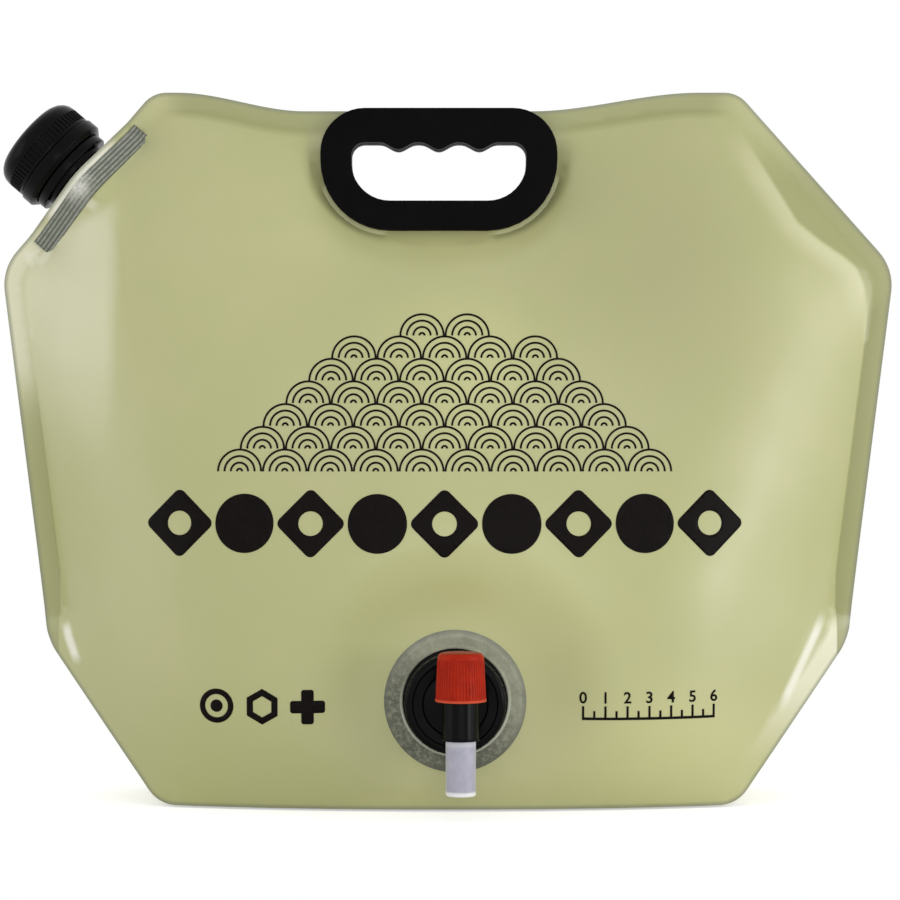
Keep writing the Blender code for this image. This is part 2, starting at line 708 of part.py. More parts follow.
def plate(name, outline, hole, inner_y, outer_y, edge_round, material=None):
    """A flat plate with one hole, whose edges on the outer face are rounded."""
    form = bmesh.new()
    for loop in (outline, hole):
        ring = [form.verts.new((p.x, inner_y, p.y)) for p in loop]
        for a, b in zip(ring, ring[1:] + ring[:1]):
            form.edges.new((a, b))
    bmesh.ops.triangle_fill(form, use_beauty=True, edges=form.edges[:])
    raised = bmesh.ops.extrude_face_region(form, geom=form.faces[:])
    lifted = [v for v in raised["geom"] if isinstance(v, bmesh.types.BMVert)]
    bmesh.ops.translate(form, verts=lifted, vec=(0, outer_y - inner_y, 0))
    if edge_round:
        top = set(lifted)
        rim = [
            e
            for e in form.edges
            if set(e.verts) <= top and e.calc_face_angle(0) > math.radians(45)
        ]
        bmesh.ops.bevel(form, geom=rim, offset=edge_round, segments=2, profile=0.5,
                        affect="EDGES", clamp_overlap=True)
    bmesh.ops.recalc_face_normals(form, faces=form.faces)
    mesh = bpy.data.meshes.new(name)
    form.to_mesh(mesh)
    form.free()
    smooth(mesh)
    return add_object(name, mesh, material)


def pin_group(name, radius, near_y, far_y):
    """All snap pins, or the sockets for them, as one helper."""
    form = bmesh.new()
    for x, z in pin_places():
        place = Matrix.Translation((x, (near_y + far_y) / 2, z)) @ Matrix.Rotation(math.pi / 2, 4, "X")
        bmesh.ops.create_cone(form, cap_ends=True, segments=PIN_STEPS, radius1=radius,
                              radius2=radius, depth=abs(far_y - near_y), matrix=place)
    mesh = bpy.data.meshes.new(name)
    form.to_mesh(mesh)
    form.free()
    return add_object(name, mesh)


def handle():
    outline = handle_outline()
    grip = grip_outline()
    outer = CLAMP + HANDLE_HALF_THICKNESS
    front = plate("handle_front", outline, grip, -CLAMP, -outer, HANDLE_EDGE_ROUND, BLACK)
    rear = plate("handle_rear", outline, grip, CLAMP, outer, HANDLE_EDGE_ROUND, BLACK)
    sockets = pin_group("handle_sockets", PIN_RADIUS + SEAT_GAP, -CLAMP + OVERRUN,
                        -CLAMP - PIN_REACH - SEAT_GAP)
    boolean(front, "DIFFERENCE", sockets)
    pins = pin_group("handle_pins", PIN_RADIUS, CLAMP + SINK, -CLAMP - PIN_REACH)
    boolean(rear, "UNION", pins)
    lip = plate("handle_lip", offset_outline(grip, LIP_WALL), offset_outline(grip, SEAT_GAP),
                CLAMP + SINK, -CLAMP + SEAT_GAP, 0)
    boolean(rear, "UNION", lip)


# Filler spout and cap


def spout_frame():
    """Local Z runs out along the spout, local X down along the film's slanted edge."""
    axes = Matrix((SPOUT_ALONG, Vector((0, 1, 0)), SPOUT_AXIS)).transposed()
    if axes.determinant() < 0:
        axes = Matrix((-SPOUT_ALONG, Vector((0, 1, 0)), SPOUT_AXIS)).transposed()
    return Matrix.Translation(SPOUT_ORIGIN) @ axes.to_4x4()


def canoe_ring(height):
    front = [(CANOE_HALF_LENGTH * share, canoe_half_thickness(CANOE_HALF_LENGTH * share))
             for share in CANOE_SHARES]
    ring = [(x, -thick, height) for x, thick in front]
    ring += [(x, thick, height) for x, thick in reversed(front)]
    return ring


def filler_spout():
    frame = spout_frame()
    profile = [
        (0, NECK_TOP),
        (NECK_RADIUS, NECK_TOP),
        (NECK_RADIUS, BEAD_BOTTOM + BEAD_HEIGHT),
        (BEAD_RADIUS, BEAD_BOTTOM + BEAD_HEIGHT / 2),
        (BEAD_RADIUS, BEAD_BOTTOM),
        (NECK_RADIUS, BEAD_BOTTOM),
        (NECK_RADIUS, SPOUT_RING_TOP),
        (SPOUT_RING_RADIUS, SPOUT_RING_TOP),
        (SPOUT_RING_RADIUS, SPOUT_RING_BOTTOM),
        (NECK_BASE_RADIUS, SPOUT_RING_BOTTOM),
        (NECK_BASE_RADIUS, SEAT_GAP * 2),
        (CANOE_ROUND - SEAT_GAP * 2, SEAT_GAP * 2),
        (CANOE_ROUND - SEAT_GAP * 2, CANOE_OUTER - SINK),
        (0, CANOE_OUTER - SINK),
    ]
    spout = turned("filler_spout", profile, NECK_STEPS, BLACK, frame, closed=False)
    bottom = CANOE_OUTER - CANOE_HEIGHT
    canoe = lofted("canoe", [canoe_ring(bottom), canoe_ring(CANOE_OUTER)], None, frame)
    boolean(spout, "UNION", canoe)
    bore = rod("neck_bore", NECK_BORE_RADIUS, bottom - OVERRUN, NECK_TOP + OVERRUN,
               NECK_STEPS, frame)
    boolean(spout, "DIFFERENCE", bore)


def tamper_band():
    inner = BEAD_RADIUS + SEAT_GAP
    profile = [
        (inner, BAND_TOP),
        (BAND_RADIUS, BAND_TOP),
        (BAND_RADIUS, BAND_BOTTOM + BAND_CHAMFER),
        (BAND_RADIUS - BAND_CHAMFER, BAND_BOTTOM),
        (inner, BAND_BOTTOM),
    ]
    turned("tamper_band", profile, NECK_STEPS, BLACK, spout_frame())


def filler_cap():
    levels = [
        (CAP_RADIUS, CAP_BOTTOM, CAP_RIB_DEPTH),
        (CAP_RADIUS, CAP_SHOULDER - CAP_EDGE_ROUND, CAP_RIB_DEPTH),
    ]
    for i in range(CAP_EDGE_STEPS):
        angle = math.pi / 2 * (i + 1) / CAP_EDGE_STEPS
        radius = CAP_RADIUS - CAP_EDGE_ROUND * (1 - math.cos(angle))
        levels.append((radius, CAP_SHOULDER - CAP_EDGE_ROUND * (1 - math.sin(angle)), 0))
    levels.append((CAP_RADIUS * DOME_SHARE, CAP_SHOULDER + CAP_DOME, 0))
    rings = [ribbed_ring(r, z, CAP_RIBS, depth) for r, z, depth in levels]
    cap = lofted("filler_cap", rings, BLACK, spout_frame())
    ceiling = CAP_SHOULDER + CAP_DOME - CAP_CEILING
    wall = CAP_RADIUS - CAP_WALL
    profile = [
        (0, ceiling),
        (CAP_RECESS_RADIUS, ceiling),
        (wall, ceiling - CAP_LEDGE),
        (wall, CAP_BOTTOM - OVERRUN),
        (0, CAP_BOTTOM - OVERRUN),
    ]
    half_step = Matrix.Rotation(math.pi / FINE_STEPS, 4, "Z")
    hollow = turned("cap_hollow", profile, FINE_STEPS, None, spout_frame() @ half_step, closed=False)
    boolean(cap, "DIFFERENCE", hollow)


def cap_liner():
    top = CAP_SHOULDER + CAP_DOME - CAP_CEILING - CAP_LEDGE - SEAT_GAP
    radius = CAP_RADIUS - CAP_WALL - SEAT_GAP
    profile = [(0, top), (radius, top), (radius, top - LINER_THICKNESS), (0, top - LINER_THICKNESS)]
    turned("cap_liner", profile, FINE_STEPS, RUBBER, spout_frame(), closed=False)


# Tap


def tap_frame():
    """Local Z runs forwards out of the bag along the collar's axis."""
    return Matrix.Translation((TAP_X, 0, TAP_Z)) @ Matrix.Rotation(math.pi / 2, 4, "X")


def stem_frame():
    """Upright along the valve stem, with heights above the floor."""
    return Matrix.Translation((STEM_X, -STEM_DEPTH, 0))


def tap_flange():
    back = TAP_SEAT_DEPTH - SEAT_GAP - FLANGE_THICKNESS
    profile = [
        (TAP_NECK_BORE, TAP_NECK_TOP),
        (TAP_NECK_RADIUS, TAP_NECK_TOP),
        (TAP_NECK_RADIUS, SHOULDER_FACE),
        (SHOULDER_RADIUS - SHOULDER_HEIGHT / 3, SHOULDER_FACE),
        (SHOULDER_RADIUS, SHOULDER_FACE - SHOULDER_HEIGHT / 3),
        (SHOULDER_RADIUS, TAP_SEAT_DEPTH - SEAT_GAP),
        (FLANGE_RADIUS, TAP_SEAT_DEPTH - SEAT_GAP),
        (FLANGE_RADIUS, back + FLANGE_THICKNESS / 2),
        (FLANGE_RADIUS - FLANGE_THICKNESS / 2, back),
        (TAP_NECK_BORE, back),
    ]
    turned("tap_flange", profile, NECK_STEPS, BLACK, tap_frame())


def tap_washer():
    front = WASHER_BACK + WASHER_THICKNESS
    inner = TAP_NECK_BORE + SEAT_GAP
    profile = [(inner, front), (TAP_NECK_RADIUS, front), (TAP_NECK_RADIUS, WASHER_BACK), (inner, WASHER_BACK)]
    turned("tap_washer", profile, FINE_STEPS, RUBBER, tap_frame())


def tap_collar():
    bore = COLLAR_RADIUS - COLLAR_WALL
    mouth = HUB_RADIUS + SEAT_GAP
    back = SHOULDER_FACE + SEAT_GAP
    seat = PLATE_FRONT + SEAT_GAP
    profile = [
        (mouth, COLLAR_FRONT - COLLAR_RECESS),
        (COLLAR_RECESS_RADIUS - COLLAR_RECESS, COLLAR_FRONT - COLLAR_RECESS),
        (COLLAR_RECESS_RADIUS, COLLAR_FRONT),
        (COLLAR_RADIUS - COLLAR_EDGE_ROUND, COLLAR_FRONT),
        (COLLAR_RADIUS - COLLAR_EDGE_ROUND * ROUND_SHARE, COLLAR_FRONT - COLLAR_EDGE_ROUND * ROUND_SHARE),
        (COLLAR_RADIUS, COLLAR_FRONT - COLLAR_EDGE_ROUND),
        (COLLAR_RADIUS, back),
        (bore, back),
        (bore, seat),
        (mouth, seat),
    ]
    turned("tap_collar", profile, NECK_STEPS, BLACK, tap_frame())


def tap_body():
    skirt = TAP_NECK_BORE - 2 * SEAT_GAP
    plate_radius = TAP_NECK_RADIUS
    front = COLLAR_FRONT - COLLAR_RECESS
    profile = [
        (0, front),
        (HUB_RADIUS, front),
        (HUB_RADIUS, PLATE_FRONT),
        (plate_radius, PLATE_FRONT),
        (plate_radius, PLATE_BACK),
        (skirt, PLATE_BACK),
        (skirt, PLATE_BACK - SKIRT_LENGTH),
        (skirt - SKIRT_WALL, PLATE_BACK - SKIRT_LENGTH),
        (skirt - SKIRT_WALL, PLATE_BACK),
        (0, PLATE_BACK),
    ]
    body = turned("tap_body", profile, FINE_STEPS, BLACK, tap_frame(), closed=False)
    inlet_frame = Matrix.Translation((STEM_X, 0, INLET_Z)) @ Matrix.Rotation(math.pi / 2, 4, "X")
    inlet = rod("inlet", INLET_RADIUS, front - SINK, STEM_DEPTH, FINE_STEPS // 2, inlet_frame)
    boolean(body, "UNION", inlet)
    lip = BARREL_RADIUS + SEAT_GAP
    barrel_profile = [
        (0, BARREL_TOP_Z),
        (BARREL_RADIUS - SINK, BARREL_TOP_Z),
        (BARREL_RADIUS, BARREL_TOP_Z - SINK),
        (BARREL_RADIUS, BARREL_BOTTOM_Z + 2 * SINK),
        (lip, BARREL_BOTTOM_Z + 2 * SINK),
        (lip, BARREL_BOTTOM_Z),
        (0, BARREL_BOTTOM_Z),
    ]
    barrel = turned("barrel", barrel_profile, FINE_STEPS, None, stem_frame(), closed=False)
    boolean(body, "UNION", barrel)
    bore = rod("barrel_bore", STEM_RADIUS + SEAT_GAP, BARREL_BOTTOM_Z - OVERRUN,
               BARREL_TOP_Z + OVERRUN, FINE_STEPS, stem_frame())
    boolean(body, "DIFFERENCE", bore)
    way = rod("inlet_way", INLET_BORE, PLATE_BACK - OVERRUN, STEM_DEPTH, FINE_STEPS // 2, inlet_frame)
    boolean(body, "DIFFERENCE", way)


def seal_heights():
    return INLET_Z - SEAL_SPACING, INLET_Z + SEAL_SPACING


def valve_stem():
    top = BARREL_TOP_Z
    groove = STEM_RADIUS - 2 * SEAL_RADIUS
    half = SEAL_RADIUS + SEAT_GAP
    low_seal, high_seal = seal_heights()
    profile = [
        (0, top),
        (STEM_RADIUS, top),
        (STEM_RADIUS, high_seal + half),
        (groove, high_seal + half),
        (groove, high_seal - half),
        (STEM_RADIUS, high_seal - half),
        (STEM_RADIUS, low_seal + half),
        (groove, low_seal + half),
        (groove, low_seal - half),
        (STEM_RADIUS, low_seal - half),
        (STEM_RADIUS, OUTLET_Z),
        (STEM_BORE, OUTLET_Z),
        (STEM_BORE, STEM_BORE_TOP_Z),
        (0, STEM_BORE_TOP_Z),
    ]
    stem = turned("valve_stem", profile, FINE_STEPS, NATURAL, stem_frame(), closed=False)
    form = bmesh.new()
    width = 2 * POST_HALF_WIDTH
    place = Matrix.Translation((0, 0, top + (POST_HEIGHT - SINK) / 2))
    bmesh.ops.create_cube(form, size=1, matrix=place @ Matrix.Diagonal((width, width, POST_HEIGHT + SINK, 1)))
    mesh = bpy.data.meshes.new("stem_post")
    form.to_mesh(mesh)
    form.free()
    boolean(stem, "UNION", add_object("stem_post", mesh, None, stem_frame()))
    port_frame = Matrix.Translation((STEM_X, -STEM_DEPTH, INLET_Z)) @ Matrix.Rotation(math.pi / 2, 4, "Y")
    port = rod("port", PORT_RADIUS, 0, STEM_RADIUS + OVERRUN, FINE_STEPS // 2, port_frame)
    boolean(stem, "DIFFERENCE", port)


def stem_seals():
    for name, height in zip(("stem_seal_lower", "stem_seal_upper"), seal_heights()):
        centre = STEM_RADIUS + SEAT_GAP - SEAL_RADIUS - SEAT_GAP / 3
        angles = [-2 * math.pi * i / SEAL_SIDES for i in range(SEAL_SIDES)]
        profile = [(centre + SEAL_RADIUS * math.cos(a), height + SEAL_RADIUS * math.sin(a)) for a in angles]
        turned(name, profile, FINE_STEPS, RUBBER, stem_frame())


def tap_knob():
    inner = BARREL_RADIUS + 2 * SEAT_GAP
    ceiling = BARREL_TOP_Z + 2 * SEAT_GAP
    shoulder = KNOB_TOP_Z - KNOB_CROWN
    levels = [
        (KNOB_BOTTOM_RADIUS, KNOB_BOTTOM_Z, 0),
        (KNOB_BOTTOM_RADIUS, KNOB_BOTTOM_Z + KNOB_FOOT, 0),
        (KNOB_BOTTOM_RADIUS, KNOB_BOTTOM_Z + KNOB_FOOT + KNOB_RIB_DEPTH, KNOB_RIB_DEPTH),
        (KNOB_TOP_RADIUS, shoulder - KNOB_EDGE_ROUND, KNOB_RIB_DEPTH),
        (KNOB_TOP_RADIUS - KNOB_EDGE_ROUND * ROUND_SHARE, shoulder - KNOB_EDGE_ROUND * ROUND_SHARE, 0),
        (KNOB_TOP_RADIUS - KNOB_EDGE_ROUND, shoulder, 0),
        (KNOB_TOP_RADIUS * DOME_SHARE, KNOB_TOP_Z, 0),
    ]
    rings = [ribbed_ring(r, z, KNOB_RIBS, depth) for r, z, depth in levels]
    knob = lofted("tap_knob", rings, RED, stem_frame())
    hollow = rod("knob_hollow", inner, KNOB_BOTTOM_Z - OVERRUN, ceiling, FINE_STEPS, stem_frame())
    boolean(knob, "DIFFERENCE", hollow)
    form = bmesh.new()
    width = 2 * (POST_HALF_WIDTH + SEAT_GAP)
    low = ceiling - OVERRUN
    high = BARREL_TOP_Z + POST_HEIGHT + SEAT_GAP
    place = Matrix.Translation((0, 0, (low + high) / 2)) @ Matrix.Diagonal((width, width, high - low, 1))
    bmesh.ops.create_cube(form, size=1, matrix=place)
    mesh = bpy.data.meshes.new("post_socket")
    form.to_mesh(mesh)
    form.free()
    boolean(knob, "DIFFERENCE", add_object("post_socket", mesh, None, stem_frame()))


clear_scene()
PARTS = make_collection("water_carrier")
HELPERS = make_collection("cutters")
FILM_MATERIAL = make_material("olive_film", "b4b480", 0.35)
BLACK = make_material("black_moulding", "121213", 0.42)
RED = make_material("red_moulding", "c62c14", 0.35)
NATURAL = make_material("natural_polythene", "d8d8de", 0.3, 0.75)
RUBBER = make_material("seal_rubber", "35363a", 0.7)

front_border = film_panel("front_panel", -1, with_tap=True)
rear_border = film_panel("rear_panel", 1, with_tap=False)
bottom_gusset(front_border, rear_border)
handle()
filler_spout()
tamper_band()
filler_cap()
cap_liner()
tap_flange()
tap_washer()
tap_collar()
tap_body()
valve_stem()
stem_seals()
tap_knob()
bpy.context.view_layer.update()
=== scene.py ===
"""Looks of the collapsible water carrier: a satin film bag, its clamped handle, its
capped filler spout and its quarter-turn tap.

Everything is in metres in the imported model's frame: +Z up, the front with the tap
faces -Y, and the origin is the middle of the underside of the base.
"""

import math

import bmesh
import bpy
import numpy as np
from mathutils import Matrix, Vector
from mathutils.bvhtree import BVHTree
from mathutils.geometry import delaunay_2d_cdt


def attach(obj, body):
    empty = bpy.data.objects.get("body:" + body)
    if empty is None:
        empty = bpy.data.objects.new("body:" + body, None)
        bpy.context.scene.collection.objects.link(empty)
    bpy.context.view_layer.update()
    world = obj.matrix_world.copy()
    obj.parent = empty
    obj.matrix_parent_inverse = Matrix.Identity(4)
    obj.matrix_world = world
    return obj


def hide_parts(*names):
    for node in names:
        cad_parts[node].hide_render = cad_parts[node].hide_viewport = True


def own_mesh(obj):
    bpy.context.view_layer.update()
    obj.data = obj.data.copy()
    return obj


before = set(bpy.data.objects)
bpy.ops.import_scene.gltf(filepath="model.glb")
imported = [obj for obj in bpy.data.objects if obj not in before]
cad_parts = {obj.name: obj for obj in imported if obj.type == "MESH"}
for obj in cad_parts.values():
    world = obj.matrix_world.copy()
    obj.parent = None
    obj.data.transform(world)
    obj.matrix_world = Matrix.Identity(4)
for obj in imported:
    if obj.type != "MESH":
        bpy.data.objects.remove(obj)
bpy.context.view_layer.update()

# Clearances
SEAT_GAP = 0.0003
SINK = 0.0005  # how deep a joined shape starts inside the one that carries it

# Film bag
FILM = 0.0005
TOP_Z = 0.3325
TOP_SAG = 0.0088
SAG_START_LEFT_X = 0.068
SAG_END_LEFT_X = 0.128
SAG_START_RIGHT_X = 0.040
SAG_END_RIGHT_X = 0.119
TOP_CORNER_X = 0.1372
SPOUT_CORNER_X = 0.1398
SIDE_CORNER_X = 0.2114
SIDE_CORNER_Z = 0.2490
KNEE_X = 0.1891
KNEE_Z = 0.0736
BASE_CORNER_X = 0.1326
TOP_FILLET = 0.014
SIDE_FILLET = 0.024
KNEE_FILLET = 0.026
BASE_FILLET = 0.016
WELD_WIDTH = 0.009
BASE_CORNER_DEPTH = 0.036
BASE_BOW = 0.0155
BELLY_DEPTH = 0.0570
BELLY_Z = 0.125
CROWN_POWER = 1.7
KNEE_SPREAD_HEIGHT = 0.045
EDGE_STEP = 0.0030  # spacing of mesh points along the film's border
FILL_STEP = 0.0031  # and across a panel
GUSSET_START_DEPTH = 0.0022
GUSSET_ROLL = 0.016
CREASE_RISE = 0.0009
CREASE_WIDTH = 0.0016
ROLL_SHARES = (0.08, 0.16, 0.28, 0.40, 0.52, 0.66, 0.82, 1.0)
FLOOR_SHARES = (0.14, 0.28, 0.42, 0.56, 0.70, 0.84)
SKIN = 0.0004  # thickness of the film as it is shown
PLAIN_FILM = 40.0  # far from any edge, in millimetres
TAP_ROUND = 0.045  # how far round its flange the tap draws the film flat
TONGUE_DROP = 0.0035  # the base film's folded end starts this far below the knee
TONGUE_CLEAR = 0.00006

# Carry handle
HANDLE_X = -0.0043
HANDLE_WIDTH = 0.1118
HANDLE_HEIGHT = 0.0576
HANDLE_RISE = 0.0008
HANDLE_TOP_RADIUS = 0.0210
HANDLE_BOTTOM_RADIUS = 0.0330
HANDLE_HALF_THICKNESS = 0.0058
HANDLE_EDGE_ROUND = 0.0022
GRIP_WIDTH = 0.0826
GRIP_HEIGHT = 0.0275
GRIP_TOP_BAR = 0.0162
GRIP_TOP_RADIUS = 0.0062
GRIP_BOTTOM_RADIUS = 0.0182
FINGER_SPAN_SHARE = 0.82
FINGER_DEPTH = 0.0033
FINGER_BUMPS = 3
LIP_WALL = 0.0014

# Filler spout and cap, along the spout's own axis from the film's slanted edge
SPOUT_SHIFT = 0.0013
CANOE_HALF_LENGTH = 0.0330
CANOE_ROUND = 0.0158
CANOE_TIP = 0.0008
CANOE_OUTER = -0.0024
CANOE_HEIGHT = 0.0098
NECK_BORE_RADIUS = 0.0142
NECK_BASE_RADIUS = 0.0172
NECK_RADIUS = 0.0182
NECK_TOP = 0.0248
SPOUT_RING_RADIUS = 0.0212
SPOUT_RING_BOTTOM = 0.0029
SPOUT_RING_TOP = 0.0070
BEAD_RADIUS = 0.0198
BEAD_BOTTOM = 0.0108
BEAD_HEIGHT = 0.0016
BAND_BOTTOM = 0.0073
BAND_TOP = 0.0143
BAND_RADIUS = 0.0241
BAND_CHAMFER = 0.0019
CAP_BOTTOM = 0.0147
CAP_SHOULDER = 0.0302
CAP_DOME = 0.0014
CAP_RADIUS = 0.0233
CAP_EDGE_ROUND = 0.0075
CAP_WALL = 0.0028
CAP_CEILING = 0.0028
CAP_LEDGE = 0.0022
CAP_RECESS_RADIUS = 0.0168
CAP_RIBS = 60
CAP_RIB_DEPTH = 0.0006
THREAD_TURNS = 2
THREAD_BOTTOM = 0.0155
THREAD_TOP = 0.0235
THREAD_DEPTH = 0.0008
THREAD_HALF_HEIGHT = 0.0009
THREAD_FADE = 0.08  # share of the thread at each end where it runs out

# Tap, outwards from the middle plane of the bag
TAP_X = 0.0033
STEM_OFFSET = 0.0024
TAP_Z = 0.0497
TAP_SEAT_DEPTH = 0.0525
FLANGE_RADIUS = 0.0316
FLANGE_THICKNESS = 0.0018
SHOULDER_RADIUS = 0.0236
SHOULDER_HEIGHT = 0.0016
TAP_NECK_RADIUS = 0.0188
TAP_NECK_BORE = 0.0164
TAP_NECK_LENGTH = 0.0088
TAP_THREAD_TURNS = 1.6
TAP_THREAD_DEPTH = 0.0007
WASHER_THICKNESS = 0.0012
PLATE_THICKNESS = 0.0018
COLLAR_RADIUS = 0.0226
COLLAR_WALL = 0.0028
COLLAR_LIP = 0.0017
COLLAR_EDGE_ROUND = 0.0022
COLLAR_RECESS = 0.0005
COLLAR_RECESS_RADIUS = 0.0192
COLLAR_RIBS = 36
HUB_RADIUS = 0.0142
SKIRT_WALL = 0.0014
SKIRT_LENGTH = 0.0050
INLET_DROP = 0.0055
INLET_RADIUS = 0.0066
BARREL_CLEAR = 0.0013
BARREL_RADIUS = 0.0080
STEM_RADIUS = 0.00665
STEM_BORE = 0.0049
BARREL_BOTTOM_Z = 0.0353
BARREL_TOP_Z = 0.0672
OUTLET_Z = 0.0110
STEM_BORE_TOP_Z = 0.0500
SEAL_RADIUS = 0.0005
SEAL_SPACING = 0.0075
POST_HALF_WIDTH = 0.0030
POST_HEIGHT = 0.0026
KNOB_BOTTOM_Z = 0.0525
KNOB_TOP_Z = 0.0744
KNOB_TOP_RADIUS = 0.0103
KNOB_BOTTOM_RADIUS = 0.0111
KNOB_EDGE_ROUND = 0.0024
KNOB_CROWN = 0.0006
KNOB_FOOT = 0.0013
KNOB_RIBS = 48
KNOB_RIB_DEPTH = 0.0003

SOLVER_ROUNDS = 1500  # at most, to raise a film panel
ARC_STEPS = 10
TURN_STEPS = 96
RIB_SIDES = 8

# Values worked out from the sizes above
HANDLE_TOP_Z = TOP_Z - TOP_SAG + HANDLE_RISE
FINGER_SPAN = (GRIP_WIDTH - 2 * GRIP_TOP_RADIUS) * FINGER_SPAN_SHARE
FINGER_PITCH = FINGER_SPAN / FINGER_BUMPS
SEAM = SEAT_GAP / 2
CLAMP = SEAM + FILM + SEAT_GAP
LAYER_SHIFT = FILM + 2 * SEAT_GAP
CHAMFER_MIDDLE = Vector(((SPOUT_CORNER_X + SIDE_CORNER_X) / 2, 0, (TOP_Z + SIDE_CORNER_Z) / 2))
CHAMFER_RUN = Vector((SIDE_CORNER_X - SPOUT_CORNER_X, 0, SIDE_CORNER_Z - TOP_Z)).normalized()
SPOUT_ALONG = Vector((-CHAMFER_RUN.x, 0, CHAMFER_RUN.z))
SPOUT_ORIGIN = Vector((-CHAMFER_MIDDLE.x, 0, CHAMFER_MIDDLE.z)) - SPOUT_ALONG * SPOUT_SHIFT
SPOUT_AXIS = Vector((SPOUT_ALONG.z, 0, -SPOUT_ALONG.x))
# The same in the bag's plane
FLAT_ORIGIN = Vector((SPOUT_ORIGIN.x, SPOUT_ORIGIN.z))
FLAT_ALONG = Vector((SPOUT_ALONG.x, SPOUT_ALONG.z))
FLAT_OUT = Vector((SPOUT_AXIS.x, SPOUT_AXIS.z))
FILM_FACE = TAP_SEAT_DEPTH + FILM
SHOULDER_FACE = FILM_FACE + SHOULDER_HEIGHT
TAP_NECK_TOP = SHOULDER_FACE + TAP_NECK_LENGTH
WASHER_BACK = TAP_NECK_TOP + SEAT_GAP
PLATE_BACK = WASHER_BACK + WASHER_THICKNESS + SEAT_GAP
PLATE_FRONT = PLATE_BACK + PLATE_THICKNESS
COLLAR_FRONT = PLATE_FRONT + SEAT_GAP + COLLAR_LIP
STEM_DEPTH = COLLAR_FRONT + BARREL_CLEAR + KNOB_BOTTOM_RADIUS + KNOB_RIB_DEPTH
INLET_Z = TAP_Z - INLET_DROP
STEM_X = TAP_X + STEM_OFFSET
RING_INNER = SHOULDER_RADIUS + SEAT_GAP / 2
RING_OUTER = FLANGE_RADIUS + 0.0006
FACING_FRONT = Matrix.Rotation(math.pi / 2, 4, "X")  # turns what points up to the front


# Meshes and objects


def linked(name, data):
    """A new object in the scene."""
    obj = bpy.data.objects.new(name, data)
    bpy.context.scene.collection.objects.link(obj)
    return obj


def painted(mesh, material):
    mesh.materials.clear()
    mesh.materials.append(material)


def piece(name, mesh, material, body, replaced=()):
    """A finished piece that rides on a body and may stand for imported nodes."""
    obj = linked(name, mesh)
    painted(mesh, material)
    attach(obj, body)
    if replaced:
        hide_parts(*replaced)
    return obj


def flattens(obj):
    """Gives the piece a mesh of its own."""
    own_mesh(obj)


def smooth(mesh, degrees):
    """Smooth shading, with edges sharper than so many degrees left sharp."""
    mesh.shade_smooth()
    mesh.set_sharp_from_angle(angle=math.radians(degrees))


def with_values(mesh, **values):
    """Gives each point its values, which the materials read by their labels."""
    for label, value in values.items():
        data = mesh.attributes.new(label, "FLOAT", "POINT").data
        data.foreach_set("value", np.full(len(mesh.vertices), value, float))


def mesh_of(form, name):
    """A mesh from a bmesh that is freed."""
    mesh = bpy.data.meshes.new(name)
    form.to_mesh(mesh)
    form.free()
    return mesh


def finished(form, name, degrees=35):
    """A smooth mesh with its faces outwards, from a bmesh that is freed."""
    bmesh.ops.remove_doubles(form, verts=form.verts, dist=1e-7)
    bmesh.ops.recalc_face_normals(form, faces=form.faces)
    mesh = mesh_of(form, name)
    smooth(mesh, degrees)
    return mesh


def solid(name, points, faces, place=Matrix(), degrees=35):
    """A mesh from points and faces given by their points' numbers, moved to its place."""
    form = bmesh.new()
    corners = [form.verts.new(p) for p in points]
    for face in faces:
        form.faces.new([corners[k] for k in face])
    bmesh.ops.transform(form, matrix=place, verts=form.verts)
    return finished(form, name, degrees)


def grid_faces(rows, count, closed=False):
    """Squares over rows of count points each, round each row where it is closed."""
    last = count if closed else count - 1
    return [[i * count + j, (i + 1) * count + j, (i + 1) * count + (j + 1) % count,
             i * count + (j + 1) % count] for i in range(rows - 1) for j in range(last)]


def end_faces(points):
    """The first and the last four points as squares that close a bar of four sides."""
    return [[0, 1, 2, 3], [len(points) - k for k in (1, 2, 3, 4)]]


def filled_form(loops, y=0.0):
    """A bmesh of flat faces at y within the first loop of x and z and outside the others."""
    form = bmesh.new()
    for loop in loops:
        ring = [form.verts.new((p[0], y, p[1])) for p in loop]
        for a, b in zip(ring, ring[1:] + ring[:1]):
            form.edges.new((a, b))
    bmesh.ops.triangle_fill(form, use_beauty=True, edges=form.edges[:])
    return form


def joined(name, meshes):
    form = bmesh.new()
    for mesh in meshes:
        form.from_mesh(mesh)
        bpy.data.meshes.remove(mesh)
    return mesh_of(form, name)


def evaluated(obj, name):
    """The plain mesh that an object and its modifiers make; the object is removed."""
    graph = bpy.context.evaluated_depsgraph_get()
    mesh = bpy.data.meshes.new_from_object(obj.evaluated_get(graph))
    mesh.name = name
    obj.modifiers.clear()
    bpy.data.objects.remove(obj)
    return mesh


def thickened(mesh, thickness, offset=-1.0, even=False):
    """The mesh as a skin of some thickness, which grows to the side that offset says."""
    obj = linked(mesh.name, mesh)
    modifier = obj.modifiers.new("skin", "SOLIDIFY")
    modifier.thickness = thickness
    modifier.offset = offset
    modifier.use_even_offset = even
    return evaluated(obj, mesh.name)


def fillet_arc(before, corner, after, radius, steps):
    u = (before - corner).normalized()
    v = (after - corner).normalized()
    half = u.angle(v) / 2
    reach = radius / math.tan(half)
    centre = corner + (u + v).normalized() * radius / math.sin(half)
    first = corner + u * reach - centre
    last = corner + v * reach - centre
    turn = first.angle_signed(last)
    points = []
    for i in range(steps + 1):
        arm = first.copy()
        arm.rotate(Matrix.Rotation(-turn * i / steps, 2))
        points.append(centre + arm)
    return points


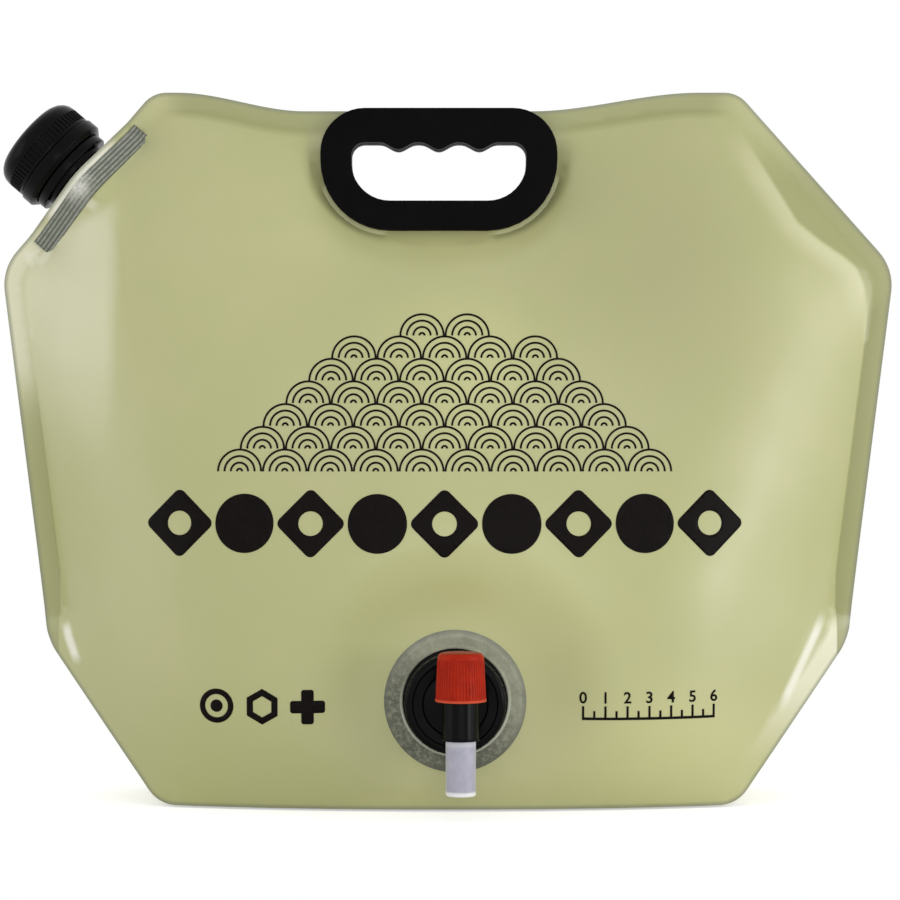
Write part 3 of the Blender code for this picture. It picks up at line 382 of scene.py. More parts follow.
def eased(corners, closed=True, steps=5):
    """An outline through corners given as (x, z, radius), each rounded by its radius."""
    points = []
    count = len(corners)
    for i, (x, z, radius) in enumerate(corners):
        if radius <= 0 or (not closed and i in (0, count - 1)):
            points.append((x, z))
            continue
        before = Vector(corners[i - 1][:2])
        after = Vector(corners[(i + 1) % count][:2])
        points += [tuple(p) for p in fillet_arc(before, Vector((x, z)), after, radius, steps)]
    return points


def turned(name, corners, place, closed=True, steps=TURN_STEPS):
    """A turned mesh from (radius, height, rounding) corners; an open outline ends on its axis."""
    form = bmesh.new()
    ring = [form.verts.new((r, 0, z)) for r, z in eased(corners, closed)]
    for a, b in zip(ring, ring[1:] + (ring[:1] if closed else [])):
        form.edges.new((a, b))
    bmesh.ops.spin(form, geom=form.verts[:] + form.edges[:], axis=(0, 0, 1), cent=(0, 0, 0),
                   angle=2 * math.pi, steps=steps, use_merge=True)
    bmesh.ops.transform(form, matrix=place, verts=form.verts)
    return finished(form, name)


def rounded_outline(corners, step):
    arcs = []
    for i, (corner, radius) in enumerate(corners):
        before = Vector(corners[i - 1][0])
        after = Vector(corners[(i + 1) % len(corners)][0])
        arcs.append(fillet_arc(before, Vector(corner), after, radius, ARC_STEPS))
    points = []
    for i, arc in enumerate(arcs):
        points += arc
        start = arc[-1]
        end = arcs[(i + 1) % len(arcs)][0]
        pieces = max(1, round((end - start).length / step))
        points += [start.lerp(end, k / pieces) for k in range(1, pieces)]
    return points


def offset_outline(points, distance):
    moved = []
    for i, point in enumerate(points):
        run = (points[(i + 1) % len(points)] - points[i - 1]).normalized()
        moved.append(point + Vector((run.y, -run.x)) * distance)
    return moved


def round_hole(x, z, radius, steps):
    angles = [2 * math.pi * i / steps for i in range(steps)]
    return [Vector((x + radius * math.cos(a), z + radius * math.sin(a))) for a in angles]


# Outlines in the bag's plane, as x and z


def canoe_half_thickness(along):
    """Half thickness of the spout's boat-shaped foot: a round middle with straight flanks."""
    tip = CANOE_HALF_LENGTH
    away = abs(along)
    reach = math.hypot(tip, CANOE_TIP)
    touch = math.acos(CANOE_ROUND / reach) + math.atan2(CANOE_TIP, tip)
    touch_along = CANOE_ROUND * math.cos(touch)
    touch_thick = CANOE_ROUND * math.sin(touch)
    if away <= touch_along:
        return math.sqrt(CANOE_ROUND**2 - away**2)
    return touch_thick + (CANOE_TIP - touch_thick) * (away - touch_along) / (tip - touch_along)


CANOE_SHARES = [i / 16 for i in range(-16, 17)]


def stepped(values, low, high):
    """Rises softly from 0 at low to 1 at high."""
    share = np.clip((values - low) / (high - low), 0, 1)
    return share * share * (3 - 2 * share)


def top_sag(x):
    """How far the upper edge hangs below the bag's corners."""
    start, end = (SAG_START_LEFT_X, SAG_END_LEFT_X) if x < 0 else (SAG_START_RIGHT_X, SAG_END_RIGHT_X)
    return TOP_SAG * (1 - stepped(abs(x), start, end))


def bag_outline():
    """The film's border, counter-clockwise from the base's right corner."""
    right = [
        ((BASE_CORNER_X, FILM), BASE_FILLET),
        ((KNEE_X, KNEE_Z), KNEE_FILLET),
        ((SIDE_CORNER_X, SIDE_CORNER_Z), SIDE_FILLET),
        ((TOP_CORNER_X, TOP_Z), TOP_FILLET),
    ]
    left = [((-x, z), radius) for (x, z), radius in reversed(right[:3])]
    spout_corner = ((-SPOUT_CORNER_X, TOP_Z), TOP_FILLET)
    points = rounded_outline(right + [spout_corner] + left, EDGE_STEP)
    tip_zone = CANOE_HALF_LENGTH + WELD_WIDTH / 4

    def on_canoe(p):
        arm = p - FLAT_ORIGIN
        return abs(arm.dot(FLAT_OUT)) < SEAT_GAP and abs(arm.dot(FLAT_ALONG)) < tip_zone

    kept = [p for p in points if not on_canoe(p)]
    ahead = [i for i, p in enumerate(kept)
             if p.x < 0 and (p - FLAT_ORIGIN).dot(FLAT_ALONG) < 0 and p.y > SIDE_CORNER_Z]
    place = max(ahead) + 1
    stations = [FLAT_ORIGIN + FLAT_ALONG * (CANOE_HALF_LENGTH * share) for share in CANOE_SHARES]
    points = kept[:place] + stations + kept[place:]
    return [Vector((p.x, p.y - top_sag(p.x))) if p.y > TOP_Z - SEAT_GAP else p for p in points]


def weld_line(outline):
    """The inner edge of the welded border, point for point with the outline."""
    inner = offset_outline(outline, -WELD_WIDTH)
    depth = CANOE_HEIGHT - CANOE_OUTER + SEAT_GAP
    for i, p in enumerate(outline):
        arm = p - FLAT_ORIGIN
        if abs(arm.dot(FLAT_OUT)) < SEAT_GAP and abs(arm.dot(FLAT_ALONG)) < CANOE_HALF_LENGTH + SEAT_GAP:
            inner[i] = p - FLAT_OUT * depth
    return inner


def rounded_box(width, top, height, top_radius, bottom_radius):
    """A box in the handle's middle with rounded corners, from its lower left corner on."""
    left, right, bottom = HANDLE_X - width / 2, HANDLE_X + width / 2, top - height
    return rounded_outline([((left, bottom), bottom_radius), ((right, bottom), bottom_radius),
                            ((right, top), top_radius), ((left, top), top_radius)], width)


def handle_outline():
    return rounded_box(HANDLE_WIDTH, HANDLE_TOP_Z, HANDLE_HEIGHT, HANDLE_TOP_RADIUS, HANDLE_BOTTOM_RADIUS)


def grip_outline():
    """The hand opening, with finger bumps along its upper edge."""
    top = HANDLE_TOP_Z - GRIP_TOP_BAR
    points = rounded_box(GRIP_WIDTH, top, GRIP_HEIGHT, GRIP_TOP_RADIUS, GRIP_BOTTOM_RADIUS)
    half_span = FINGER_SPAN / 2
    samples = 16 * FINGER_BUMPS
    bumps = []
    for i in range(samples + 1):
        x = half_span - 2 * half_span * i / samples
        wave = (1 - math.cos(2 * math.pi * (x + half_span) / FINGER_PITCH)) / 2
        bumps.append(Vector((HANDLE_X + x, top - FINGER_DEPTH * wave**1.3)))
    place = 3 * (ARC_STEPS + 1)
    return points[:place] + bumps + points[place:]


# Film panels: a flat mesh that pressure raises between its welds


def inside(points, loop):
    found = np.zeros(len(points), bool)
    x, z = points[:, 0], points[:, 1]
    for a, b in zip(loop, loop[1:] + loop[:1]):
        crosses = (a.y > z) != (b.y > z)
        rise = b.y - a.y if b.y != a.y else 1.0
        found ^= crosses & (x < a.x + (z - a.y) * (b.x - a.x) / rise)
    return found


def distance_to_path(points, path):
    """Distance of each point to a run of segments, and how far along it that is, 0 to 1."""
    best = np.full(len(points), np.inf)
    place = np.zeros(len(points))
    lengths = [0.0]
    for a, b in zip(path, path[1:]):
        lengths.append(lengths[-1] + math.dist(a, b))
    for i, (a, b) in enumerate(zip(path, path[1:])):
        start = np.array(a)
        run = np.array(b) - start
        share = np.clip((points - start) @ run / max(run @ run, 1e-12), 0, 1)
        gap = np.linalg.norm(points - start - share[:, None] * run, axis=1)
        nearer = gap < best
        best[nearer] = gap[nearer]
        place[nearer] = (lengths[i] + share[nearer] * (lengths[i + 1] - lengths[i])) / lengths[-1]
    return best, place


def distance_to_loop(points, loop):
    return distance_to_path(points, list(loop) + [loop[0]])[0]


def triangulate(loops, outer, holes, step):
    """A flat mesh within the outer loop and outside the holes, with all loops as its edges."""
    across = np.arange(-SIDE_CORNER_X, SIDE_CORNER_X, step)
    rows = np.arange(FILM, TOP_Z, step * math.sqrt(3) / 2)
    grid = np.array([(x + (r % 2) * step / 2, z) for r, z in enumerate(rows) for x in across])
    for loop in loops:
        grid = grid[distance_to_loop(grid, loop) > step * 0.55]
    points = [p for loop in loops for p in loop]
    edges = []
    first = 0
    for loop in loops:
        edges += [(first + i, first + (i + 1) % len(loop)) for i in range(len(loop))]
        first += len(loop)
    points += [Vector(p) for p in grid]
    made = delaunay_2d_cdt(points, edges, [], 0, SEAT_GAP / 100)
    flat = np.array([tuple(p) for p in made[0]])
    triangles = np.array([list(f) for f in made[2]])
    middles = flat[triangles].mean(axis=1)
    keep = inside(middles, outer)
    for hole in holes:
        keep &= ~inside(middles, hole)
    triangles = triangles[keep]
    used, index = np.unique(triangles, return_inverse=True)
    return flat[used], index.reshape(-1, 3)


def border_depth(point):
    """Half thickness of the bag at a point of its border."""
    arm = Vector(point) - FLAT_ORIGIN
    along = arm.dot(FLAT_ALONG)
    if arm.dot(FLAT_OUT) > -(CANOE_HEIGHT - CANOE_OUTER + 2 * SEAT_GAP):
        if abs(along) < CANOE_HALF_LENGTH + SEAT_GAP:
            return canoe_half_thickness(along) + SEAT_GAP
    z = point[1]
    spread = min(max((KNEE_Z + KNEE_SPREAD_HEIGHT - z) / KNEE_SPREAD_HEIGHT, 0.0), 1.0)
    seam = SEAM + LAYER_SHIFT * spread
    if z >= KNEE_Z:
        return seam
    if z > FILM + SEAT_GAP:
        share = (KNEE_Z - z) / (KNEE_Z - FILM)
        return seam + (BASE_CORNER_DEPTH - seam) * share
    return BASE_CORNER_DEPTH + BASE_BOW * max(0.0, 1 - (point[0] / BASE_CORNER_X) ** 2)


def held_depth(flat, outline, inner, with_tap):
    """Depth where the film is held, and not a number where it is free."""
    depth = np.full(len(flat), np.nan)
    on_border = distance_to_loop(flat, outline) < SEAT_GAP / 2
    on_weld = distance_to_loop(flat, inner) < SEAT_GAP / 2
    above_knee = flat[:, 1] > KNEE_Z + KNEE_FILLET / 2
    held = on_border | (on_weld & above_knee)
    held |= inside(flat, outline) & ~inside(flat, inner) & above_knee & ~on_weld
    for i in np.flatnonzero(held):
        depth[i] = border_depth(flat[i])
    clamp = offset_outline(handle_outline(), HANDLE_EDGE_ROUND)
    depth[inside(flat, clamp) | (distance_to_loop(flat, clamp) < SEAT_GAP / 2)] = SEAM
    if with_tap:
        away = np.hypot(flat[:, 0] - TAP_X, flat[:, 1] - TAP_Z)
        depth[away < FLANGE_RADIUS + 4 * SEAT_GAP] = TAP_SEAT_DEPTH
    return depth


def inflate(flat, triangles, held):
    """Depth of a film under even pressure, solved by conjugate gradients."""
    count = len(flat)
    free = np.isnan(held)
    ends, weights = [], []
    load = np.zeros(count)
    for k in range(3):
        a, b, c = triangles[:, k], triangles[:, (k + 1) % 3], triangles[:, (k + 2) % 3]
        u, v = flat[a] - flat[c], flat[b] - flat[c]
        cross = u[:, 0] * v[:, 1] - u[:, 1] * v[:, 0]
        weights.append(np.maximum((u * v).sum(axis=1) / cross / 2, 1e-4))
        ends.append((a, b))
        load += np.bincount(a, cross / 6, count)
    a = np.concatenate([e[0] for e in ends])
    b = np.concatenate([e[1] for e in ends])
    w = np.concatenate(weights)
    diagonal = np.bincount(a, w, count) + np.bincount(b, w, count)

    def pull(x):
        return diagonal * x - np.bincount(a, w * x[b], count) - np.bincount(b, w * x[a], count)

    def solve(right):
        x = np.zeros(count)
        rest = np.where(free, right, 0)
        way = rest / diagonal
        size = rest @ way
        for _ in range(SOLVER_ROUNDS):
            step = np.where(free, pull(way), 0)
            share = size / (way @ step)
            x += share * way
            rest = rest - share * step
            eased_rest = rest / diagonal
            new = rest @ eased_rest
            if new < size * 1e-14 or new < 1e-22:
                break
            way = eased_rest + way * (new / size)
            size = new
        return x

    fixed = np.where(free, 0, np.nan_to_num(held))
    slack = solve(-pull(fixed))
    swell = solve(load)
    swell = 1 - (1 - swell / swell.max()) ** CROWN_POWER
    gap = np.hypot(flat[:, 0] - KNEE_X / 3, flat[:, 1] - BELLY_Z)
    belly = np.argmin(np.where(free, gap, 1))
    pressure = (BELLY_DEPTH - slack[belly]) / swell[belly]
    return np.where(free, slack + pressure * swell, fixed)


# Folds of the film as x and z in millimetres, with their height and half width in
# millimetres: above zero stands out of the film, below zero is pressed in.
FRONT_FOLDS = [
    (((142, 308), (146, 300), (149, 296), (157, 282), (164, 270), (175, 261.5), (187, 254), (193, 249),
      (196, 242), (196.5, 225)), 1.0, 3.0),
    (((150, 311), (156, 300), (166, 285), (178, 270), (192, 259)), -0.7, 5.0),
    (((-168.5, 279.7), (-163, 277), (-158, 274), (-153, 266), (-151, 252), (-152, 225)), 0.9, 4.0),
    (((-164, 287), (-155, 283), (-146, 276), (-140, 262)), -0.8, 7.0),
    (((-179, 256), (-180, 230), (-181, 187)), 0.7, 7.0),
    (((-195, 254.6), (-190.6, 249.9), (-189, 243)), 0.55, 1.5),
    (((-183.5, 256.5), (-190.0, 250.2)), 0.5, 1.6),
    (((-178, 84), (-177, 76), (-173, 66)), 0.8, 2.4),
    (((178, 90), (172, 78), (163, 62), (157, 45)), 0.9, 2.6),
    (((183, 84), (176, 70), (167, 55), (160, 40)), -0.6, 3.5),
    (((-60, 268), (-84, 262), (-112, 268)), 0.35, 7.0),
    (((52, 268), (80, 261), (108, 266)), 0.35, 7.0),
]
REAR_FOLDS = [
    (((-142, 308), (-149, 296), (-160, 278), (-176, 261), (-190, 250), (-196, 232)), 0.9, 3.4),
    (((165, 283), (157, 272), (150, 252), (150, 225)), 0.8, 4.5),
    (((-178, 90), (-170, 76), (-160, 55)), 0.8, 3.0),
    (((178, 90), (170, 76), (160, 55)), 0.8, 3.0),
    (((40, 266), (72, 258), (110, 262)), 0.4, 8.0),
    (((-50, 266), (-82, 258), (-118, 264)), 0.4, 8.0),
]
# Long shallow waves: length in mm, direction in degrees, start, height in mm
WAVES = [(96, 12, 0.4, 0.30), (71, 63, 1.9, 0.22), (58, 118, 3.1, 0.16), (37, 155, 0.9, 0.07)]


def fold_height(flat, folds, hold_distance, turn):
    """Height of the folds and long waves over the smooth film."""
    millimetres = flat * 1000
    height = np.zeros(len(flat))
    for path, rise, width in folds:
        gap, place = distance_to_path(millimetres, [Vector(p) for p in path])
        taper = stepped(np.minimum(place, 1 - place), 0, 0.3)
        height += rise * taper * np.exp(-((gap / width) ** 2))
    height *= stepped(hold_distance * 1000, 0, 5)
    waves = np.zeros(len(flat))
    for length, angle, start, rise in WAVES:
        run = millimetres @ np.array([math.cos(math.radians(angle)), math.sin(math.radians(angle))])
        waves += rise * np.sin(2 * math.pi * run / length * turn + start)
    height += waves * stepped(hold_distance * 1000, 0, 30)
    return height / 1000


# Puckers: the range that each one's measures are drawn from, in metres
PUCKER_REACH = (0.012, 0.034)
PUCKER_WIDTH = (0.0022, 0.0044)
PUCKER_RISE = (0.00010, 0.00042)
PUCKER_SPACING = (0.008, 0.022)
PUCKER_LEAN = 0.35  # sideways for each metre inwards


def pucker_height(flat, inner, hold_distance, seed):
    """Short wrinkles that run in from the welded border, closer where it turns."""
    random = np.random.default_rng(seed)
    height = np.zeros(len(flat))
    points = [np.array(p) for p in inner]
    lengths = np.cumsum([0.0] + [math.dist(a, b) for a, b in zip(inner, inner[1:])])
    place = 0.0
    while place < lengths[-1]:
        i = int(np.searchsorted(lengths, place)) % len(points)
        start = points[i]
        run = points[(i + 2) % len(points)] - points[i - 2]
        run /= max(np.linalg.norm(run), 1e-9)
        inward = np.array([-run[1], run[0]])
        reach = random.uniform(*PUCKER_REACH)
        width = random.uniform(*PUCKER_WIDTH)
        rise = random.uniform(*PUCKER_RISE) * random.choice((1, 1, -1))
        lean = random.uniform(-PUCKER_LEAN, PUCKER_LEAN)
        away = flat - start
        deep = away @ inward
        side = away @ run - lean * deep
        shape = np.clip(deep / 0.004, 0, 1) * np.clip(1 - deep / reach, 0, 1) ** 1.5
        height += rise * shape * np.exp(-((side / (width * (1 + deep / reach))) ** 2)) * (deep > 0)
        place += random.uniform(*PUCKER_SPACING)
    return height * np.clip(hold_distance * 1000 / 3, 0, 1)


def depth_along(loop, flat, depth):
    return [depth[np.argmin(np.hypot(flat[:, 0] - p.x, flat[:, 1] - p.y))] for p in loop]


# Lines along which a painted highlight lies on the film: how strongly, and x and z in millimetres
SHINES = [
    (1.0, ((177, 88), (172, 78), (163, 61), (153, 42))),
    (1.0, ((-180, 83), (-178, 75), (-173, 63))),
    (0.45, ((-171.6, 280.8), (-168, 279), (-163, 276))),
    (0.9, ((-159.4, 307.2), (-168, 297.0), (-173.6, 290.6), (-181.4, 281.4), (-191, 270.2))),
    (0.4, ((-199.6, 258), (-198, 254), (-196, 250))),
    (0.4, ((-187, 260), (-190, 255), (-194, 250))),
]
# Painted light on the film, each as a soft spot: above zero a painted lift of its colour where it lies in
# shade, below zero painted shade where it is lit:
# how much, x and z in millimetres, and how far it spreads along x and z
PEARL_SPOTS = [
    (1.0, 6, 266, 38, 12),
    (0.55, 20, 92, 30, 22),
    (0.5, 12, 204, 26, 26),
    (0.5, 100, 28, 42, 20),
    (-1.0, 103, 248, 36, 52),
]
# The ridge across the free upper corner and, with it, the border of the hollow beyond, which bound a painted
# highlight inside the ridge and painted shade beyond it
CORNER_RIDGE = ((140, 312), (145, 303), (150, 294), (157, 282), (164, 270), (175, 261.5),
                (187, 254), (193, 249), (196.5, 241), (198, 231), (197.5, 220), (195, 200))
CORNER_HOLLOW = ((194, 190), (240, 190), (240, 345), (130, 345), (134, 326))


def strip_margin(place, edge):
    """How far inside the visible welded strip a point lies, in millimetres."""
    side = np.minimum(10.0 - edge, np.abs(place[:, 0]) - 183.2)
    return np.where((place[:, 1] > 300) & (np.abs(place[:, 0]) < 140), (11.5 - edge) * 0.2, side)


def strip_share(place):
    """How plainly the welded border shows darker, 0 to 1: partly the double film's own tone, partly painted
    shade.
    """
    x, z = place[:, 0], place[:, 1]
    right = (x > 0) * (1 - stepped(z, 226, 244))
    left = (x < 0) * (1 - stepped(z, 170, 206)) * 0.7
    top = 0.85 * stepped(z, 300, 312) * (1 - stepped(np.abs(x), 122, 139))
    return np.maximum.reduce([right, left, top])


def hollow_margin(place):
    """How far a point lies beyond the ridge across the free upper corner, in millimetres."""
    ridge = [Vector(p) for p in CORNER_RIDGE]
    gap = distance_to_path(place, ridge)[0]
    return np.where(inside(place, ridge + [Vector(p) for p in CORNER_HOLLOW]), gap, -gap)


def hollow_share(place):
    """How strongly the painted highlight and the painted shade at the free upper corner show, 0 to 1."""
    return (place[:, 0] > 0) * (1 - stepped(place[:, 1], 286, 318)) * stepped(place[:, 1], 215, 246)


def shine_lines(place):
    """Signed distance to the nearest painted highlight line, and how strong that line is there."""
    best = np.full(len(place), np.inf)
    signed = np.full(len(place), 99.0)
    strong = np.zeros(len(place))
    for strength, path in SHINES:
        gap, share = distance_to_path(place, path)
        run = np.array(path[-1]) - np.array(path[0])
        stops = np.cumsum([0.0] + [math.dist(a, b) for a, b in zip(path, path[1:])])
        foot = np.array([np.interp(share, stops / stops[-1], [p[k] for p in path]) for k in (0, 1)]).T
        side = np.sign((place - foot) @ np.array([-run[1], run[0]]))
        nearer = gap < best
        best[nearer] = gap[nearer]
        signed[nearer] = (gap * np.where(side == 0, 1, side))[nearer]
        strong[nearer] = (strength * stepped(np.minimum(share, 1 - share), 0, 0.22) * (gap < 7))[nearer]
    return signed, strong


def pale_share(place, edge):
    """Where painted highlights lie on the film, 0 to 1: along the right diagonal seam, low on the left, along
    the left rim, and on the clear film margin beside the spout.
    """
    x, z = place[:, 0], place[:, 1]
    right = stepped(12.5 - edge, 0, 3) * (x > 0) * stepped(z, 14, 60) * (1 - stepped(z, 76, 90)) * 0.85
    left = stepped(-x, 151, 160) * stepped(z, 150, 225) * (1 - stepped(z - 0.5 * x, 352, 360)) * 0.46
    rim = stepped(12 - edge, 0, 6) * (x < -150) * stepped(z, 168, 212) * (1 - stepped(z, 262, 276)) * 0.75
    along = (place - np.array(FLAT_ORIGIN[:]) * 1000) @ np.array(FLAT_ALONG[:])
    # the clear film margin beside the spout: partly its own whiteness, partly a painted reflection
    spout = (x < 0) * (z > 250) * stepped(12 - edge, 0, 1) * (1 - stepped(np.abs(along), 19, 27))
    return np.maximum.reduce([right, left, rim, spout])


def pearl_share(place):
    """How much painted light lifts the film above its plain colour, or below zero how much painted shade
    darkens it.
    """
    return sum(share * np.exp(-(((place[:, 0] - x) / wide) ** 2 + ((place[:, 1] - z) / high) ** 2) / 2)
               for share, x, z, wide, high in PEARL_SPOTS)


def film_panel(name, front):
    """One face of the bag, with its border's depths for the base that joins it."""
    # The way it faces, its folds, how closely its long waves follow and its puckers' seed
    side, folds, turn, seed = (-1, FRONT_FOLDS, 1, 7) if front else (1, REAR_FOLDS, 0.83, 11)
    outline = bag_outline()
    inner = weld_line(outline)
    hole = offset_outline(grip_outline(), 2 * LIP_WALL)
    clamp = offset_outline(handle_outline(), HANDLE_EDGE_ROUND)
    holes = [hole]
    loops = [outline, inner, clamp, hole]
    if front:
        rim = round_hole(TAP_X, TAP_Z, FLANGE_RADIUS + 3 * SEAT_GAP, 64)
        mouth = round_hole(TAP_X, TAP_Z, SHOULDER_RADIUS + SEAT_GAP, 64)
        loops += [rim, mouth]
        holes.append(mouth)
    flat, triangles = triangulate(loops, outline, holes, FILL_STEP)
    held = held_depth(flat, outline, inner, front)
    depth = inflate(flat, triangles, held)
    hold_distance = np.minimum(distance_to_loop(flat, inner), distance_to_loop(flat, clamp))
    if front:
        away = np.hypot(flat[:, 0] - TAP_X, flat[:, 1] - TAP_Z)
        hold_distance = np.minimum(hold_distance, np.maximum(away - FLANGE_RADIUS - 0.001, 0))
        swell = np.maximum(depth - TAP_SEAT_DEPTH, 0)
        drawn_in = swell * (1 - stepped(away, FLANGE_RADIUS, FLANGE_RADIUS + TAP_ROUND))
        depth -= np.where(away > FLANGE_RADIUS, drawn_in, 0)
    free = np.isnan(held) & inside(flat, inner)
    relief = fold_height(flat, folds, hold_distance, turn) + pucker_height(flat, inner, hold_distance, seed)
    depth += np.where(free, relief, 0)
    mesh = bpy.data.meshes.new(name)
    points = [(x, side * d, z) for (x, z), d in zip(flat, depth)]
    mesh.from_pydata(points, [], (triangles if front else triangles[:, ::-1]).tolist())
    mesh.update()
    place = flat * 1000
    edge = distance_to_loop(flat, outline) * 1000
    shine_mm, shine = shine_lines(place)
    with_values(mesh, edge_mm=edge, strip_mm=strip_margin(place, edge), strip=strip_share(place),
                hollow_mm=hollow_margin(place), hollow=hollow_share(place), shine_mm=shine_mm, shine=shine,
                pale=pale_share(place, edge), pearl=pearl_share(place))
    mesh = thickened(mesh, SKIN, 1.0, even=True)
    smooth(mesh, 40)
    return mesh, outline, inner, depth_along(outline, flat, depth), depth_along(inner, flat, depth)


def gusset_section(outer, weld, front, rear):
    """The base film from the front weld to the rear one, rolled under and creased midway."""
    (front_outer, front_weld), (rear_outer, rear_weld) = front, rear
    down = outer - weld
    points = [(outer.x, -front_outer, outer.y), (weld.x, -front_weld, weld.y)]
    half = (front_weld + rear_weld) / 2
    roll = min(GUSSET_ROLL, half * 0.8)
    fall = down * min(1.0, half / GUSSET_ROLL)
    runs = [roll * share for share in ROLL_SHARES]
    runs += [roll + (half - roll) * share for share in FLOOR_SHARES] + [half]
    ways = [(run, 1 - (1 - min(run / roll, 1.0)) ** 2) for run in runs]
    across = [(-front_weld + run, drop) for run, drop in ways]
    across += [(rear_weld - run, drop) for run, drop in reversed(ways[:-1])]
    for y, drop in across:
        crease = CREASE_RISE * math.exp(-((y / CREASE_WIDTH) ** 2)) * min(1.0, half / GUSSET_ROLL)
        place = weld + fall * drop
        points.append((place.x, y, place.y + crease))
    return points + [(weld.x, rear_weld, weld.y), (outer.x, rear_outer, outer.y)]


def folded_tongue(outline, inner, hand):
    """The base film's folded end, welded between the panels where they draw together."""
    stations = [i for i, p in enumerate(outline)
                if p.x * hand > 0 and KNEE_Z - TONGUE_DROP < p.y < KNEE_Z + KNEE_SPREAD_HEIGHT]
    stations.sort(key=lambda i: outline[i].y)
    points = []
    for i in stations:
        half = min(border_depth(outline[i]), SEAM + LAYER_SHIFT) - TONGUE_CLEAR
        start, end = outline[i].lerp(inner[i], 0.04), outline[i].lerp(inner[i], 0.9)
        points += [(start.x, -half, start.y), (start.x, half, start.y),
                   (end.x, half, end.y), (end.x, -half, end.y)]
    faces = grid_faces(len(stations), 4, closed=True)
    return solid("tongue", points, faces + end_faces(points), degrees=50)


def base_film(front, rear):
    """The folded film that makes the base, between the two panels' lower borders."""
    outline, inner, front_outer, front_weld = front
    rear_outer, rear_weld = rear[2:]
    apart = 2 * SEAT_GAP
    stations = [i for i, p in enumerate(outline)
                if p.y < KNEE_Z and min(front_outer[i], rear_outer[i]) > GUSSET_START_DEPTH]
    stations.sort(key=lambda i: outline[i].x)
    rows = [gusset_section(outline[i], inner[i], (front_outer[i] - apart, front_weld[i] - apart),
                           (rear_outer[i] - apart, rear_weld[i] - apart)) for i in stations]
    mesh = bpy.data.meshes.new("film_base")
    mesh.from_pydata([p for row in rows for p in row], [], grid_faces(len(rows), len(rows[0])))
    mesh.update()
    mesh = joined("film_base", [thickened(mesh, SKIN), folded_tongue(outline, inner, 1),
                                folded_tongue(outline, inner, -1)])
    with_values(mesh, edge_mm=PLAIN_FILM)
    smooth(mesh, 50)
    return mesh


# Camera: where the photograph was taken from, 1.15 m in front of the bag's middle

CAMERA_PLACE = (0.00095, -1.15, 0.1632)
CAMERA_LENS = 97.04  # focal length in millimetres on a sensor 36 wide

camera_data = bpy.data.cameras.new("camera")
camera_data.sensor_width = 36.0
camera_data.lens = CAMERA_LENS
camera_data.clip_start = 0.05
camera = linked("camera", camera_data)
camera.matrix_world = Matrix.Translation(CAMERA_PLACE) @ Matrix.Rotation(math.pi / 2, 4, "X")
bpy.context.scene.camera = camera


# Materials


def linear(hex_value):
    """Linear colour of an sRGB hex value."""
    channels = [int(hex_value[i : i + 2], 16) / 255 for i in (0, 2, 4)]
    return (*[c / 12.92 if c <= 0.04045 else ((c + 0.055) / 1.055) ** 2.4 for c in channels], 1.0)


def add_node(tree, kind, settings=None, inputs=None):
    """Adds a node, sets its properties, and sets its inputs or links sockets to them."""
    node = tree.nodes.new(kind)
    for key, value in (settings or {}).items():
        setattr(node, key, value)
    for key, value in (inputs or {}).items():
        if isinstance(value, bpy.types.NodeSocket):
            tree.links.new(value, node.inputs[key])
        else:
            node.inputs[key].default_value = value
    return node


def new_material(name, **sockets):
    """A material with its shader, whose even values stand on the shader's sockets."""
    material = bpy.data.materials.new(name)
    material.use_nodes = True
    tree = material.node_tree
    shader = tree.nodes["Principled BSDF"]
    for key, value in {"Metallic": 0.0, **sockets}.items():
        shader.inputs[key.replace("_", " ")].default_value = value
    return material, tree, shader


def object_place(tree, centre=(0, 0, 0), scale=(1, 1, 1)):
    """Object coordinates in metres, moved to centre and scaled."""
    place = add_node(tree, "ShaderNodeTexCoord").outputs["Object"]
    return add_node(tree, "ShaderNodeMapping", {"vector_type": "TEXTURE"},
                    {"Location": centre, "Scale": scale, "Vector": place}).outputs[0]


def attribute(tree, label):
    return add_node(tree, "ShaderNodeAttribute", {"attribute_name": label}).outputs["Fac"]


def noise(tree, place, millimetres, detail=3.0, roughness=0.5):
    """Noise whose grains are about so many millimetres apart."""
    return add_node(tree, "ShaderNodeTexNoise", None,
                    {"Scale": 1000 / millimetres, "Detail": detail, "Roughness": roughness,
                     "Vector": place}).outputs["Fac"]


def ranged(tree, value, low, high, to_low, to_high, steps="LINEAR"):
    return add_node(tree, "ShaderNodeMapRange", {"interpolation_type": steps},
                    {"Value": value, "From Min": low, "From Max": high, "To Min": to_low,
                     "To Max": to_high}).outputs[0]


def maths(tree, operation, *values):
    """What one Math node makes of sockets and numbers."""
    return add_node(tree, "ShaderNodeMath", {"operation": operation}, dict(enumerate(values))).outputs[0]


def times(tree, first, second):
    return maths(tree, "MULTIPLY", first, second)


def mixed(tree, share, first, second):
    """A mix of two colours, each a hex value or a socket."""
    first, second = (linear(tone) if isinstance(tone, str) else tone for tone in (first, second))
    return add_node(tree, "ShaderNodeMix", {"data_type": "RGBA"}, {0: share, 6: first, 7: second}).outputs[2]


def layered(tree, colour, *layers):
    """A colour under layers, each a share of cover and a hex value, the lowest first."""
    for share, tone in layers:
        colour = mixed(tree, share, colour, tone)
    return colour


def dressed(tree, shader, colour, cloud, rough, heights=()):
    """Gives the shader its colour, a roughness range that follows a noise, and a bump of
    heights, each a socket and its full height in millimetres."""
    tree.links.new(colour, shader.inputs["Base Color"])
    tree.links.new(ranged(tree, cloud, 0.3, 0.7, *rough), shader.inputs["Roughness"])
    normal = {}
    for height, millimetres in heights:
        bump = add_node(tree, "ShaderNodeBump", None,
                        {"Strength": 1.0, "Distance": millimetres / 1000, "Height": height, **normal})
        normal = {"Normal": bump.outputs[0]}
    if normal:
        tree.links.new(normal["Normal"], shader.inputs["Normal"])


